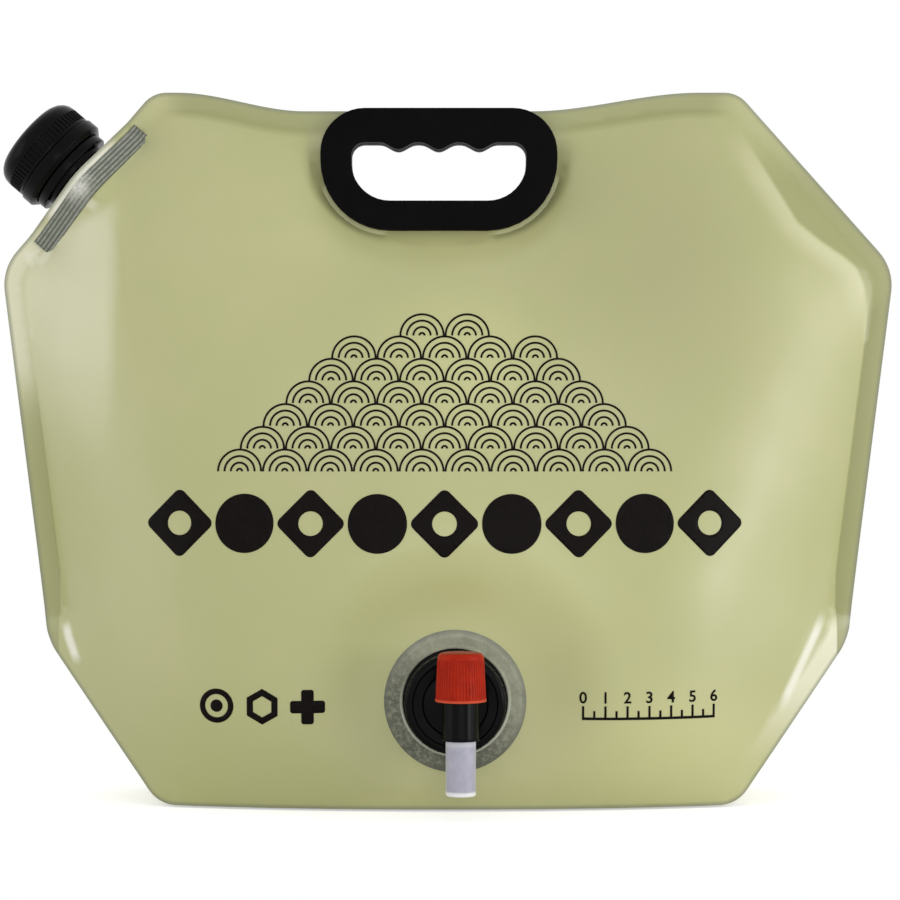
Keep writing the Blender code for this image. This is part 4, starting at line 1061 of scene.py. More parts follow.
def plain_material(name, cloud_mm, colours, rough, grain=None, zones=(), detail=3.0, start=0.3, **sockets):
    """An even material of two near colours that change over cloud_mm. Grain is its size in
    millimetres, its detail and its height. Each painted light zone, a painted highlight or painted shade,
    fades in from one height on the object to another, as high as its share, in its own colour."""
    material, tree, shader = new_material(name, **sockets)
    place = object_place(tree)
    cloud = noise(tree, place, cloud_mm, detail)
    colour = mixed(tree, ranged(tree, cloud, start, 0.7, 0, 1), *colours)
    if zones:
        height = add_node(tree, "ShaderNodeSeparateXYZ", None, {0: place}).outputs["Z"]
        colour = layered(tree, colour, *((ranged(tree, height, low, high, 0, share), tone)
                                         for low, high, share, tone in zones))
    heights = [(noise(tree, place, *grain[:2]), grain[2])] if grain else []
    dressed(tree, shader, colour, cloud, rough, heights)
    return material


def pearl_film():
    """Laminated polyethylene film, blown and printed: a satin skin with a clear outer layer,
    darker where two layers are welded into one (partly painted shade), with painted
    highlights, painted shade and painted lifts of shaded zones laid on its colour."""
    material, tree, shader = new_material("satin_laminated_film", IOR=1.5,
                                          Coat_Weight=0.25, Coat_Roughness=0.25, Coat_IOR=1.5)
    place = object_place(tree)
    cloud = noise(tree, place, 85, 2.0)
    patch = noise(tree, place, 22, 3.0)
    edge, strip_mm, strip, hollow_mm, hollow, shine_mm, shine, pale, pearl = (
        attribute(tree, label) for label in ("edge_mm", "strip_mm", "strip", "hollow_mm", "hollow",
                                             "shine_mm", "shine", "pale", "pearl"))
    strip = times(tree, strip, ranged(tree, strip_mm, -0.3, 0.5, 0, 1))
    # painted highlight inside the ridge across the free upper corner, and painted shade beyond it
    lit = times(tree, ranged(tree, hollow_mm, -14, -1.2, 0, 0.42, "SMOOTHSTEP"),
                ranged(tree, hollow_mm, -1.2, 0.8, 1, 0))
    dim = times(tree, ranged(tree, hollow_mm, -0.6, 1.6, 0, 1, "SMOOTHSTEP"),
                ranged(tree, hollow_mm, 1, 12, 0.65, 0.6))
    off_line = maths(tree, "ABSOLUTE", shine_mm)
    colour = layered(
        tree, mixed(tree, ranged(tree, cloud, 0.3, 0.7, 0, 1), "b1b37b", "b8b785"),
        (ranged(tree, patch, 0.35, 0.75, 0, 0.35), "afb37c"),
        # painted light: lifts the film's colour where it lies in shade and darkens it where it is lit
        (ranged(tree, pearl, 0, 1, 0, 1), "cece94"),
        (ranged(tree, pearl, 0, -1, 0, 1), "a8a878"),
        # painted highlights on the film
        (pale, "e6e4c9"),
        # the welded border, darker: partly the double film's own tone, partly painted shade
        (times(tree, strip, ranged(tree, strip_mm, 0, 9, 0.9, 0.6)), "90925c"),
        (times(tree, hollow, lit), "dedcb8"),
        (times(tree, hollow, dim), "90925c"),
        # painted highlight along those lines
        (times(tree, shine, ranged(tree, off_line, 0.6, 3.4, 0.8, 0, "SMOOTHSTEP")), "f4f3e4"),
        (ranged(tree, edge, 2.2, 0.4, 0, 0.75), "7f826c"),
    )
    dressed(tree, shader, colour, patch, (0.34, 0.42), [(patch, 0.10), (noise(tree, place, 1.1, 2.0), 0.012)])
    return material


def welded_band():
    """The same film sealed onto the black spout by a ribbed bar: greyer, darker in the
    pressed grooves, with a speckled painted highlight over the swell."""
    material, tree, shader = new_material("film_welded_over_spout", IOR=1.5,
                                          Coat_Weight=0.5, Coat_Roughness=0.2)
    mottle = noise(tree, object_place(tree), 2.2, 4.0, 0.65)
    # speckled painted highlight over the swell
    speckle = times(tree, ranged(tree, mottle, 0.40, 0.60, 0.55, 1), attribute(tree, "stretch"))
    colour = layered(
        tree, mixed(tree, ranged(tree, mottle, 0.35, 0.65, 0, 1), "6c7062", "8c9082"),
        (ranged(tree, attribute(tree, "groove"), 0.3, 0.9, 0, 0.92), "383d2b"),
        (speckle, "e2e1d8"),
    )
    dressed(tree, shader, colour, mottle, (0.30, 0.45), [(mottle, 0.12)])
    return material


def welded_ring():
    """Film sealed over the tap's black flange: the flange shows through, mottled where
    the seal is uneven, with painted shade below on the left, a painted highlight above
    on the right and a painted highlight on the lower part of its inner lip."""
    material, tree, shader = new_material("film_welded_over_flange", IOR=1.5,
                                          Coat_Weight=0.3, Coat_Roughness=0.3)
    place = object_place(tree, (TAP_X, 0, TAP_Z))
    smear = noise(tree, place, 9, 4.0, 0.6)
    mottle = noise(tree, place, 1.8, 4.0, 0.7)
    axes = add_node(tree, "ShaderNodeSeparateXYZ", None, {0: place}).outputs
    x, z = axes["X"], axes["Z"]
    # painted light across the ring: painted shade below on the left, painted highlight above on the right
    light = ranged(tree, maths(tree, "MULTIPLY_ADD", x, 0.62, z), -0.020, 0.022, 0, 1, "SMOOTHSTEP")
    away = maths(tree, "POWER", maths(tree, "ADD", times(tree, x, x), times(tree, z, z)), 0.5)
    colour = layered(
        tree, mixed(tree, light, "4a4d3a", "9a9b84"),
        (ranged(tree, smear, 0.35, 0.65, 0, 0.5), "666853"),
        (ranged(tree, mottle, 0.45, 0.68, 0, 0.55), "a8aa94"),
        (ranged(tree, away, RING_OUTER - 0.0032, RING_OUTER, 0, 0.55, "SMOOTHSTEP"), "55584a"),
        # painted highlight on the lower part of the inner lip
        (times(tree, attribute(tree, "lip"), ranged(tree, z, 0.012, -0.006, 0, 0.8)), "c3c5b6"),
    )
    dressed(tree, shader, colour, smear, (0.34, 0.5), [(smear, 0.15), (mottle, 0.05)])
    return material


PEARL = pearl_film()
BAND_WELD = welded_band()
RING_WELD = welded_ring()
# Black polypropylene, injection moulded: deep black with a fine spark-eroded grain
BLACK = plain_material("moulded_black_polypropylene", 9, ("030304", "060607"), (0.20, 0.28), (0.35, 2.0, 0.004),
                       IOR=1.49, Specular_IOR_Level=0.08)
# Black polypropylene with a matt moulded face, as a carry handle has, and faint handling rub
HANDLE_BLACK = plain_material("matt_black_polypropylene", 14, ("080708", "0d0b0c"), (0.42, 0.52),
                              (0.5, 3.0, 0.010), start=0.35, IOR=1.49, Specular_IOR_Level=0.03)
# Red polyethylene, injection moulded: saturated, slightly waxy, with a painted highlight
# at the knob's foot and painted shade on its top
RED = plain_material("moulded_red_polyethylene", 5, ("9c1c05", "b0260a"), (0.30, 0.38), (0.4, 2.0, 0.005),
                     [(KNOB_BOTTOM_Z + 0.0014, KNOB_BOTTOM_Z + 0.0008, 0.8, "d2563a"),
                      (KNOB_TOP_Z - 0.0009, KNOB_TOP_Z - 0.0003, 0.7, "7c1a06")],
                     IOR=1.51, Specular_IOR_Level=0.10, Sheen_Weight=0.05, Sheen_Roughness=0.4,
                     Sheen_Tint=linear("ff9a70"), Subsurface_Weight=0.05, Subsurface_Scale=0.001,
                     Subsurface_Radius=(1.0, 0.15, 0.05))
# Natural low-density polyethylene, injection moulded: milky, with painted highlights at both ends of the tube's
# visible length
NATURAL = plain_material("natural_polyethylene", 4, ("a8a7b7", "b4b3c1"), (0.30, 0.40), (0.6, 2.0, 0.006),
                         [(OUTLET_Z + 0.0024, OUTLET_Z + 0.0014, 0.95, "f2f2f4"),
                          (BARREL_BOTTOM_Z - 0.0032, BARREL_BOTTOM_Z - 0.0014, 0.6, "d8d8e0")],
                         IOR=1.45, Specular_IOR_Level=0.3, Sheen_Weight=1.0, Sheen_Roughness=0.3)
# EPDM rubber, compression moulded: matt dark grey with a powdery bloom
RUBBER = plain_material("moulded_seal_rubber", 1.6, ("2e2f33", "404146"), (0.62, 0.78), (0.3, 2.0, 0.01),
                        detail=4.0, start=0.4, IOR=1.52, Specular_IOR_Level=0.35)
# Black flexographic ink: thin, slightly uneven and duller than the film
INK = plain_material("printed_black_ink", 3.5, ("080302", "0e0906"), (0.38, 0.5),
                     detail=4.0, start=0.4, IOR=1.5, Specular_IOR_Level=0.08)

for node in ("cap_liner", "tap_washer", "stem_seal_lower", "stem_seal_upper"):
    painted(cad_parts[node].data, RUBBER)

# The bag

front_mesh, *front_border = film_panel("film_front", front=True)
rear_mesh, *rear_border = film_panel("film_rear", front=False)
FRONT_SURFACE = BVHTree.FromPolygons([v.co[:] for v in front_mesh.vertices],
                                     [p.vertices[:] for p in front_mesh.polygons])
for label, mesh, node in (("front", front_mesh, "front_panel"), ("rear", rear_mesh, "rear_panel"),
                          ("base", base_film(front_border, rear_border), "bottom_gusset")):
    flattens(piece(f"film_{label}", mesh, PEARL, "bag", [node]))

# Film sealed over the spout's foot. The spout's own Z runs out along its neck, and its X
# up along the film's slanted edge, towards the handle.

SPOUT_AXES = Matrix((-SPOUT_ALONG, Vector((0, 1, 0)), SPOUT_AXIS)).transposed()
SPOUT = Matrix.Translation(SPOUT_ORIGIN) @ SPOUT_AXES.to_4x4()
BAND_LOW = -0.0130  # inner edge of the sealed band, along the spout's axis
BAND_HIGH = -0.0034
BAND_OVERHANG = 0.0034  # past the foot's tips
BAND_GROOVES = 5
BAND_GROOVE_DEPTH = 0.00035
BAND_LIFT = 0.00125  # stands this far off the spout's foot
BAND_FILM = 0.0003
FOOT_FILM = 0.0002  # film drawn tight round the foot, which shows when the bag is flattened


def band_mesh(side):
    """A ridged skin over the spout's foot, from tip to tip."""
    across, up = 96, 61
    half = CANOE_HALF_LENGTH + BAND_OVERHANG
    points, grooves, stretches = [], [], []
    for i in range(across):
        along = half * (2 * i / (across - 1) - 1)
        thick = canoe_half_thickness(min(abs(along), CANOE_HALF_LENGTH)) + BAND_LIFT
        for j in range(up):
            share = j / (up - 1)
            height = BAND_LOW + (BAND_HIGH - BAND_LOW) * share
            wave = 0.5 - 0.5 * math.cos(2 * math.pi * (share * BAND_GROOVES))
            edge = min(share, 1 - share, (half - abs(along)) / 0.004) / 0.06
            groove = (1 - wave) * min(1.0, max(0.0, edge))
            points.append((along, side * (thick - BAND_GROOVE_DEPTH * groove), height))
            rim = min(share, 1 - share, (half - abs(along)) / 0.0104) < 0.045
            grooves.append(max(groove, 1.0 if rim else 0.0))
            # where the speckled painted highlight lies over the swell
            spot = ((along + 0.0030) / 0.0056) ** 2 + ((share - 0.85) / 0.50) ** 2
            stretches.append(math.exp(-spot))
    faces = grid_faces(across, up)
    mesh = bpy.data.meshes.new("sealed_band")
    mesh.from_pydata(points, [], faces if side < 0 else [face[::-1] for face in faces])
    mesh.transform(SPOUT)
    mesh.update()
    with_values(mesh, groove=grooves, stretch=stretches)
    mesh = thickened(mesh, BAND_FILM)
    smooth(mesh, 50)
    return mesh


for label, side in (("front", -1), ("rear", 1)):
    piece(f"sealed_band_{label}", band_mesh(side), BAND_WELD, "bag")

# Filler spout, tamper band and cap


def canoe_mesh(grow=0.0):
    """The spout's welded foot, open along its bore, or a skin on it that is larger by grow."""
    form = bmesh.new()
    front = [((CANOE_HALF_LENGTH + grow) * s, canoe_half_thickness(CANOE_HALF_LENGTH * s) + grow)
             for s in CANOE_SHARES]
    outer = [(x, -t) for x, t in front] + [(x, t) for x, t in reversed(front)]
    radius = NECK_BORE_RADIUS + grow
    bore = [(radius * math.cos(a), radius * math.sin(a))
            for a in np.linspace(0, 2 * math.pi, TURN_STEPS, endpoint=False)]
    levels = (CANOE_OUTER - CANOE_HEIGHT - grow, CANOE_OUTER - grow)
    walls = [[[form.verts.new((x, y, level)) for x, y in loop] for level in levels] for loop in (outer, bore)]
    for (low, high), way in zip(walls, (1, -1)):
        for i in range(len(low)):
            a, b = (i, (i + 1) % len(low))[::way]
            form.faces.new((low[a], low[b], high[b], high[a]))
    for loops in zip(*walls):
        edges = [form.edges.get((a, b)) for loop in loops for a, b in zip(loop, loop[1:] + loop[:1])]
        bmesh.ops.triangle_fill(form, use_beauty=True, edges=edges)
    bmesh.ops.transform(form, matrix=SPOUT, verts=form.verts)
    return finished(form, "canoe")


def thread_mesh(radius, low, high, turns, depth, place):
    """A helical thread ridge round a neck, fading at both ends."""
    steps = int(turns * TURN_STEPS / 2)
    half = THREAD_HALF_HEIGHT
    foot = radius - SINK / 2
    points = []
    for i in range(steps + 1):
        share = i / steps
        angle = 2 * math.pi * turns * share
        height = low + (high - low) * share
        crest = radius + depth * min(1.0, share / THREAD_FADE, (1 - share) / THREAD_FADE)
        points += [(r * math.cos(angle), r * math.sin(angle), height + z)
                   for r, z in ((foot, -half), (crest, -half / 2.2), (crest, half / 2.2), (foot, half))]
    faces = [face[:1] + face[:0:-1] for face in grid_faces(steps + 1, 4, closed=True)]
    return solid("thread", points, faces + end_faces(points), place)


spout_mesh = joined("filler_spout_moulding", [
    turned("spout_neck", [
        (NECK_BORE_RADIUS, NECK_TOP, 0.0004),
        (NECK_RADIUS, NECK_TOP, 0.0006),
        (NECK_RADIUS, BEAD_BOTTOM + BEAD_HEIGHT, 0.0003),
        (BEAD_RADIUS, BEAD_BOTTOM + BEAD_HEIGHT / 2, 0.0003),
        (BEAD_RADIUS, BEAD_BOTTOM, 0.0002),
        (NECK_RADIUS, BEAD_BOTTOM, 0.0002),
        (NECK_RADIUS, SPOUT_RING_TOP, 0.0003),
        (SPOUT_RING_RADIUS, SPOUT_RING_TOP, 0.0005),
        (SPOUT_RING_RADIUS, SPOUT_RING_BOTTOM, 0.0005),
        (NECK_BASE_RADIUS, SPOUT_RING_BOTTOM, 0.0005),
        (NECK_BASE_RADIUS, SEAT_GAP * 2, 0.0003),
        (NECK_BORE_RADIUS, SEAT_GAP * 2, 0),
    ], SPOUT),
    canoe_mesh(),
    turned("spout_root", [
        (NECK_BORE_RADIUS, SEAT_GAP * 2, 0),
        (CANOE_ROUND - SEAT_GAP * 2, SEAT_GAP * 2, 0),
        (CANOE_ROUND - SEAT_GAP * 2, CANOE_OUTER - SINK, 0),
        (NECK_BORE_RADIUS, CANOE_OUTER - SINK, 0),
    ], SPOUT),
    thread_mesh(NECK_RADIUS, THREAD_BOTTOM, THREAD_TOP, THREAD_TURNS, THREAD_DEPTH, SPOUT),
])
piece("filler_spout_moulding", spout_mesh, BLACK, "bag", ["filler_spout"])
foot_film = canoe_mesh(FOOT_FILM)
with_values(foot_film, edge_mm=PLAIN_FILM)
piece("spout_foot_film", foot_film, PEARL, "bag")

band_inner = BEAD_RADIUS + SEAT_GAP
tamper_mesh = turned("tamper_ring", [
    (band_inner, BAND_TOP, 0.0003),
    (BAND_RADIUS, BAND_TOP, 0.0005),
    (BAND_RADIUS, BAND_BOTTOM + BAND_CHAMFER, 0.0007),
    (BAND_RADIUS - BAND_CHAMFER, BAND_BOTTOM, 0.0004),
    (band_inner, BAND_BOTTOM, 0.0003),
], SPOUT)
piece("tamper_ring", tamper_mesh, BLACK, "bag", ["tamper_band"])

cap_core = CAP_RADIUS - CAP_RIB_DEPTH
cap_ceiling = CAP_SHOULDER + CAP_DOME - CAP_CEILING
cap_mesh = turned("cap_shell", [
    (0, CAP_SHOULDER + CAP_DOME, 0),
    (CAP_RADIUS * 0.55, CAP_SHOULDER + CAP_DOME * 0.72, 0.02),
    (CAP_RADIUS, CAP_SHOULDER, CAP_EDGE_ROUND),
    (CAP_RADIUS, CAP_SHOULDER - CAP_EDGE_ROUND * 1.03, 0.0002),
    (cap_core, CAP_SHOULDER - CAP_EDGE_ROUND * 1.1, 0.0002),
    (cap_core, CAP_BOTTOM + 0.0019, 0.0002),
    (CAP_RADIUS, CAP_BOTTOM + 0.0016, 0.0002),
    (CAP_RADIUS, CAP_BOTTOM, 0.0003),
    (CAP_RADIUS - CAP_WALL, CAP_BOTTOM, 0.0003),
    (CAP_RADIUS - CAP_WALL, cap_ceiling - CAP_LEDGE, 0.0004),
    (CAP_RECESS_RADIUS, cap_ceiling, 0.0004),
    (0, cap_ceiling, 0),
], SPOUT, closed=False, steps=120)
piece("cap_shell", cap_mesh, BLACK, "cap", ["filler_cap"])


def named_inputs(tree, kinds):
    """Gives a node group named inputs and one geometry output."""
    for label, kind in kinds.items():
        tree.interface.new_socket(label, in_out="INPUT", socket_type=f"NodeSocket{kind}")
    tree.interface.new_socket("Geometry", in_out="OUTPUT", socket_type="NodeSocketGeometry")
    return tree.nodes.new("NodeGroupInput").outputs


def transformed(tree, geometry, way, **axes):
    """Geometry moved, turned or scaled, as way says, by sockets for some of the axes."""
    amount = add_node(tree, "ShaderNodeCombineXYZ", None, axes).outputs[0]
    return add_node(tree, "GeometryNodeTransform", None, {"Geometry": geometry, way: amount}).outputs[0]


def nodes_mesh(name, tree, instances, material, values):
    """The plain mesh that a node group makes of its instances with the given values."""
    real = add_node(tree, "GeometryNodeRealizeInstances", None, {0: instances}).outputs[0]
    covered = add_node(tree, "GeometryNodeSetMaterial", None, {0: real, "Material": material}).outputs[0]
    add_node(tree, "NodeGroupOutput", None, {0: covered})
    obj = linked(name, bpy.data.meshes.new(name))
    modifier = obj.modifiers.new(name, "NODES")
    modifier.node_group = tree
    for socket in tree.interface.items_tree:
        if socket.name in values:
            modifier[socket.identifier] = values[socket.name]
    return evaluated(obj, name)


def grip_ribs(name, material, body, place, count, heights, radii, rib_radius):
    """Grip ribs round a turned piece, made by Geometry Nodes, as a piece of their own."""
    (low, high), (radius_low, radius_high) = heights, radii
    tree = bpy.data.node_groups.new(name, "GeometryNodeTree")
    given = named_inputs(tree, {"Count": "Int", "Foot height": "Float", "Length": "Float",
                                "Ring radius": "Float", "Lean": "Float", "Rib radius": "Float"})
    ring = add_node(tree, "GeometryNodeMeshCircle", None,
                    {"Vertices": given["Count"], "Radius": given["Ring radius"]}).outputs[0]
    rib = add_node(tree, "GeometryNodeMeshCylinder", None,
                   {"Vertices": RIB_SIDES, "Radius": given["Rib radius"], "Depth": given["Length"]}).outputs[0]
    stood = transformed(tree, rib, "Translation", Z=maths(tree, "MULTIPLY", given["Length"], 0.5))
    leaned = transformed(tree, stood, "Rotation", Y=given["Lean"])
    here = add_node(tree, "GeometryNodeInputPosition").outputs[0]
    turn = add_node(tree, "FunctionNodeAlignRotationToVector", {"axis": "X", "pivot_axis": "Z"},
                    {"Vector": here}).outputs[0]
    placed = add_node(tree, "GeometryNodeInstanceOnPoints", None,
                      {"Points": ring, "Instance": leaned, "Rotation": turn}).outputs[0]
    lifted = transformed(tree, placed, "Translation", Z=given["Foot height"])
    mesh = nodes_mesh(name, tree, lifted, material, {
        "Count": count, "Foot height": low, "Length": math.hypot(high - low, radius_low - radius_high),
        "Ring radius": radius_low, "Lean": math.atan2(radius_high - radius_low, high - low),
        "Rib radius": rib_radius,
    })
    mesh.transform(place)
    smooth(mesh, 60)
    piece(name, mesh, material, body)


grip_ribs("cap_grip_ribs", BLACK, "cap", SPOUT, CAP_RIBS,
          (CAP_BOTTOM + 0.0014, CAP_SHOULDER - CAP_EDGE_ROUND), (cap_core - 0.0001, cap_core - 0.0001), 0.00075)

# Carry handle


def plate(name, outline, hole, inner_y, outer_y, edge_round):
    """A flat plate with one hole, whose edges on the outer face are rounded."""
    form = filled_form([outline, hole], inner_y)
    raised = bmesh.ops.extrude_face_region(form, geom=form.faces[:])
    lifted = [v for v in raised["geom"] if isinstance(v, bmesh.types.BMVert)]
    bmesh.ops.translate(form, verts=lifted, vec=(0, outer_y - inner_y, 0))
    if edge_round:
        top = set(lifted)
        rim = [e for e in form.edges if set(e.verts) <= top and e.calc_face_angle(0) > math.radians(45)]
        bmesh.ops.bevel(form, geom=rim, offset=edge_round, segments=5, profile=0.5,
                        affect="EDGES", clamp_overlap=True)
    return finished(form, name, 30)


grip = grip_outline()
rim = handle_outline()
handle_outer = CLAMP + HANDLE_HALF_THICKNESS
front_half = plate("handle_front_moulding", rim, grip, -CLAMP, -handle_outer, HANDLE_EDGE_ROUND)
piece("handle_front_moulding", front_half, HANDLE_BLACK, "bag", ["handle_front"])
rear_half = joined("handle_rear_moulding", [
    plate("rear_half", rim, grip, CLAMP, handle_outer, HANDLE_EDGE_ROUND),
    plate("lip", offset_outline(grip, LIP_WALL), offset_outline(grip, SEAT_GAP), CLAMP + SINK,
          -CLAMP + SEAT_GAP, 0),
])
piece("handle_rear_moulding", rear_half, HANDLE_BLACK, "bag", ["handle_rear"])

# Tap

TAP = Matrix.Translation((TAP_X, 0, TAP_Z)) @ FACING_FRONT
STEM = Matrix.Translation((STEM_X, -STEM_DEPTH, 0))
INLET = Matrix.Translation((STEM_X, 0, INLET_Z)) @ FACING_FRONT

flange_back = TAP_SEAT_DEPTH - SEAT_GAP - FLANGE_THICKNESS
flange_mesh = joined("tap_flange_moulding", [
    turned("flange", [
        (TAP_NECK_BORE, TAP_NECK_TOP, 0.0003),
        (TAP_NECK_RADIUS, TAP_NECK_TOP, 0.0004),
        (TAP_NECK_RADIUS, SHOULDER_FACE, 0.0003),
        (SHOULDER_RADIUS, SHOULDER_FACE, 0.0006),
        (SHOULDER_RADIUS, TAP_SEAT_DEPTH - SEAT_GAP, 0),
        (FLANGE_RADIUS, TAP_SEAT_DEPTH - SEAT_GAP, 0.0002),
        (FLANGE_RADIUS, flange_back + FLANGE_THICKNESS / 2, 0.0003),
        (FLANGE_RADIUS - FLANGE_THICKNESS / 2, flange_back, 0.0003),
        (TAP_NECK_BORE, flange_back, 0),
    ], TAP),
    thread_mesh(TAP_NECK_RADIUS, SHOULDER_FACE + 0.0020, TAP_NECK_TOP - 0.0016, TAP_THREAD_TURNS,
                TAP_THREAD_DEPTH, TAP),
])
piece("tap_flange_moulding", flange_mesh, BLACK, "tap_fitting", ["tap_flange"])

# The film's sealed ring round the tap, with a raised lip at its inner edge
ring_mesh = turned("sealed_ring", [
    (RING_INNER, FILM_FACE - 0.0002, 0),
    (RING_INNER, FILM_FACE + 0.0011, 0.0003),
    (RING_INNER + 0.0010, FILM_FACE + 0.0011, 0.0004),
    (RING_INNER + 0.0016, FILM_FACE + 0.00035, 0.0004),
    (RING_OUTER - 0.0030, FILM_FACE + 0.00050, 0.003),
    (RING_OUTER, FILM_FACE + 0.00008, 0),
    (RING_OUTER, FILM_FACE - 0.0002, 0),
], TAP, steps=144)
with_values(ring_mesh, lip=[1.0 if math.hypot(v.co.x - TAP_X, v.co.z - TAP_Z) < RING_INNER + 0.0013 else 0.0
                            for v in ring_mesh.vertices])
piece("sealed_ring", ring_mesh, RING_WELD, "tap_fitting")

collar_bore = COLLAR_RADIUS - COLLAR_WALL
collar_mouth = HUB_RADIUS + SEAT_GAP
collar_back = SHOULDER_FACE + SEAT_GAP
collar_seat = PLATE_FRONT + SEAT_GAP
collar_mesh = turned("collar_ring", [
    (collar_mouth, COLLAR_FRONT - COLLAR_RECESS, 0.0004),
    (COLLAR_RECESS_RADIUS - COLLAR_RECESS, COLLAR_FRONT - COLLAR_RECESS, 0.0003),
    (COLLAR_RECESS_RADIUS, COLLAR_FRONT, 0.0003),
    (COLLAR_RADIUS, COLLAR_FRONT, COLLAR_EDGE_ROUND),
    (COLLAR_RADIUS, collar_back, 0.0004),
    (collar_bore, collar_back, 0.0003),
    (collar_bore, collar_seat, 0.0003),
    (collar_mouth, collar_seat, 0.0002),
], TAP, steps=120)
piece("collar_ring", collar_mesh, BLACK, "collar", ["tap_collar"])
grip_ribs("collar_grip_ribs", BLACK, "collar", TAP, COLLAR_RIBS,
          (SHOULDER_FACE + 0.0010, COLLAR_FRONT - COLLAR_EDGE_ROUND - 0.0006),
          (COLLAR_RADIUS - 0.0003, COLLAR_RADIUS - 0.0003), 0.0006)

skirt = TAP_NECK_BORE - 2 * SEAT_GAP
hub_front = COLLAR_FRONT - COLLAR_RECESS
bore = STEM_RADIUS + SEAT_GAP
barrel_back = STEM_DEPTH - BARREL_RADIUS + 0.0012
body_mesh = joined("tap_body_moulding", [
    turned("hub", [
        (0, hub_front, 0),
        (HUB_RADIUS, hub_front, 0.0004),
        (HUB_RADIUS, PLATE_FRONT, 0.0002),
        (TAP_NECK_RADIUS, PLATE_FRONT, 0.0003),
        (TAP_NECK_RADIUS, PLATE_BACK, 0.0003),
        (skirt, PLATE_BACK, 0.0002),
        (skirt, PLATE_BACK - SKIRT_LENGTH, 0.0004),
        (skirt - SKIRT_WALL, PLATE_BACK - SKIRT_LENGTH, 0.0004),
        (skirt - SKIRT_WALL, PLATE_BACK, 0.0003),
        (0, PLATE_BACK, 0),
    ], TAP, closed=False),
    turned("barrel", [
        (bore, BARREL_TOP_Z, 0.0002),
        (BARREL_RADIUS, BARREL_TOP_Z, 0.0005),
        (BARREL_RADIUS, BARREL_BOTTOM_Z + 2 * SINK, 0.0002),
        (BARREL_RADIUS + SEAT_GAP, BARREL_BOTTOM_Z + 2 * SINK, 0.0002),
        (BARREL_RADIUS + SEAT_GAP, BARREL_BOTTOM_Z, 0.0003),
        (bore, BARREL_BOTTOM_Z, 0.0002),
    ], STEM),
    turned("inlet", [
        (0, barrel_back, 0),
        (INLET_RADIUS, barrel_back, 0),
        (INLET_RADIUS, hub_front + 0.0004, 0.0002),
        (INLET_RADIUS + 0.0009, hub_front - SINK, 0),
        (0, hub_front - SINK, 0),
    ], INLET, closed=False, steps=48),
])
piece("tap_body_moulding", body_mesh, BLACK, "tap_valve", ["tap_body"])

# The stem, with a groove for each seal and a square post for the knob
groove = STEM_RADIUS - 2 * SEAL_RADIUS
half_seal = SEAL_RADIUS + SEAT_GAP
seal_grooves = []
for middle in (INLET_Z + SEAL_SPACING, INLET_Z - SEAL_SPACING):
    seal_grooves += [(STEM_RADIUS, middle + half_seal, 0), (groove, middle + half_seal, 0),
                     (groove, middle - half_seal, 0), (STEM_RADIUS, middle - half_seal, 0)]
post = bmesh.new()
post_place = Matrix.Translation((0, 0, BARREL_TOP_Z + (POST_HEIGHT - SINK) / 2))
post_size = Matrix.Diagonal((2 * POST_HALF_WIDTH, 2 * POST_HALF_WIDTH, POST_HEIGHT + SINK, 1))
bmesh.ops.create_cube(post, size=1, matrix=STEM @ post_place @ post_size)
stem_mesh = joined("valve_stem_tube", [
    turned("tube", [
        (0, BARREL_TOP_Z, 0),
        (STEM_RADIUS, BARREL_TOP_Z, 0.0003),
        *seal_grooves,
        (STEM_RADIUS, BARREL_BOTTOM_Z - 0.0012, 0),
        (STEM_RADIUS, OUTLET_Z, 0.0005),
        (STEM_BORE, OUTLET_Z, 0.0004),
        (STEM_BORE, STEM_BORE_TOP_Z, 0.001),
        (0, STEM_BORE_TOP_Z, 0),
    ], STEM, closed=False, steps=72),
    finished(post, "post"),
])
piece("valve_stem_tube", stem_mesh, NATURAL, "spindle", ["valve_stem"])

knob_inner = BARREL_RADIUS + 2 * SEAT_GAP
knob_ceiling = BARREL_TOP_Z + 2 * SEAT_GAP
knob_shoulder = KNOB_TOP_Z - KNOB_CROWN
knob_mesh = turned("knob_shell", [
    (0, KNOB_TOP_Z, 0),
    (KNOB_TOP_RADIUS * 0.55, KNOB_TOP_Z - KNOB_CROWN * 0.25, 0.01),
    (KNOB_TOP_RADIUS, knob_shoulder, KNOB_EDGE_ROUND),
    (KNOB_TOP_RADIUS - 0.0001, knob_shoulder - KNOB_EDGE_ROUND * 1.25, 0),
    (KNOB_TOP_RADIUS - KNOB_RIB_DEPTH, knob_shoulder - KNOB_EDGE_ROUND * 1.5, 0.0002),
    (KNOB_BOTTOM_RADIUS - KNOB_RIB_DEPTH, KNOB_BOTTOM_Z + KNOB_FOOT + KNOB_RIB_DEPTH, 0.0003),
    (KNOB_BOTTOM_RADIUS + 0.00025, KNOB_BOTTOM_Z + KNOB_FOOT, 0.0003),
    (KNOB_BOTTOM_RADIUS + 0.00025, KNOB_BOTTOM_Z, 0.0004),
    (knob_inner, KNOB_BOTTOM_Z, 0.0003),
    (knob_inner, knob_ceiling, 0.0004),
    (0, knob_ceiling, 0),
], STEM, closed=False)
piece("knob_shell", knob_mesh, RED, "spindle", ["tap_knob"])
grip_ribs("knob_grip_ribs", RED, "spindle", STEM, KNOB_RIBS,
          (KNOB_BOTTOM_Z + KNOB_FOOT, knob_shoulder - KNOB_EDGE_ROUND * 1.2),
          (KNOB_BOTTOM_RADIUS - 0.00042, KNOB_TOP_RADIUS - 0.00042), 0.00046)

# Print on the front: plain patterns laid on the film

INK_LIFT = 0.00016  # face of the ink above the film
INK_DEPTH = 0.00012
INK_STEP = 0.0022  # longest run of ink between points laid on the film


def on_front(x, z, lift):
    """The point of the front film at x and z, raised by lift."""
    place, normal, *_ = FRONT_SURFACE.ray_cast(Vector((x, -0.2, z)), Vector((0, 1, 0)))
    return place + normal * lift


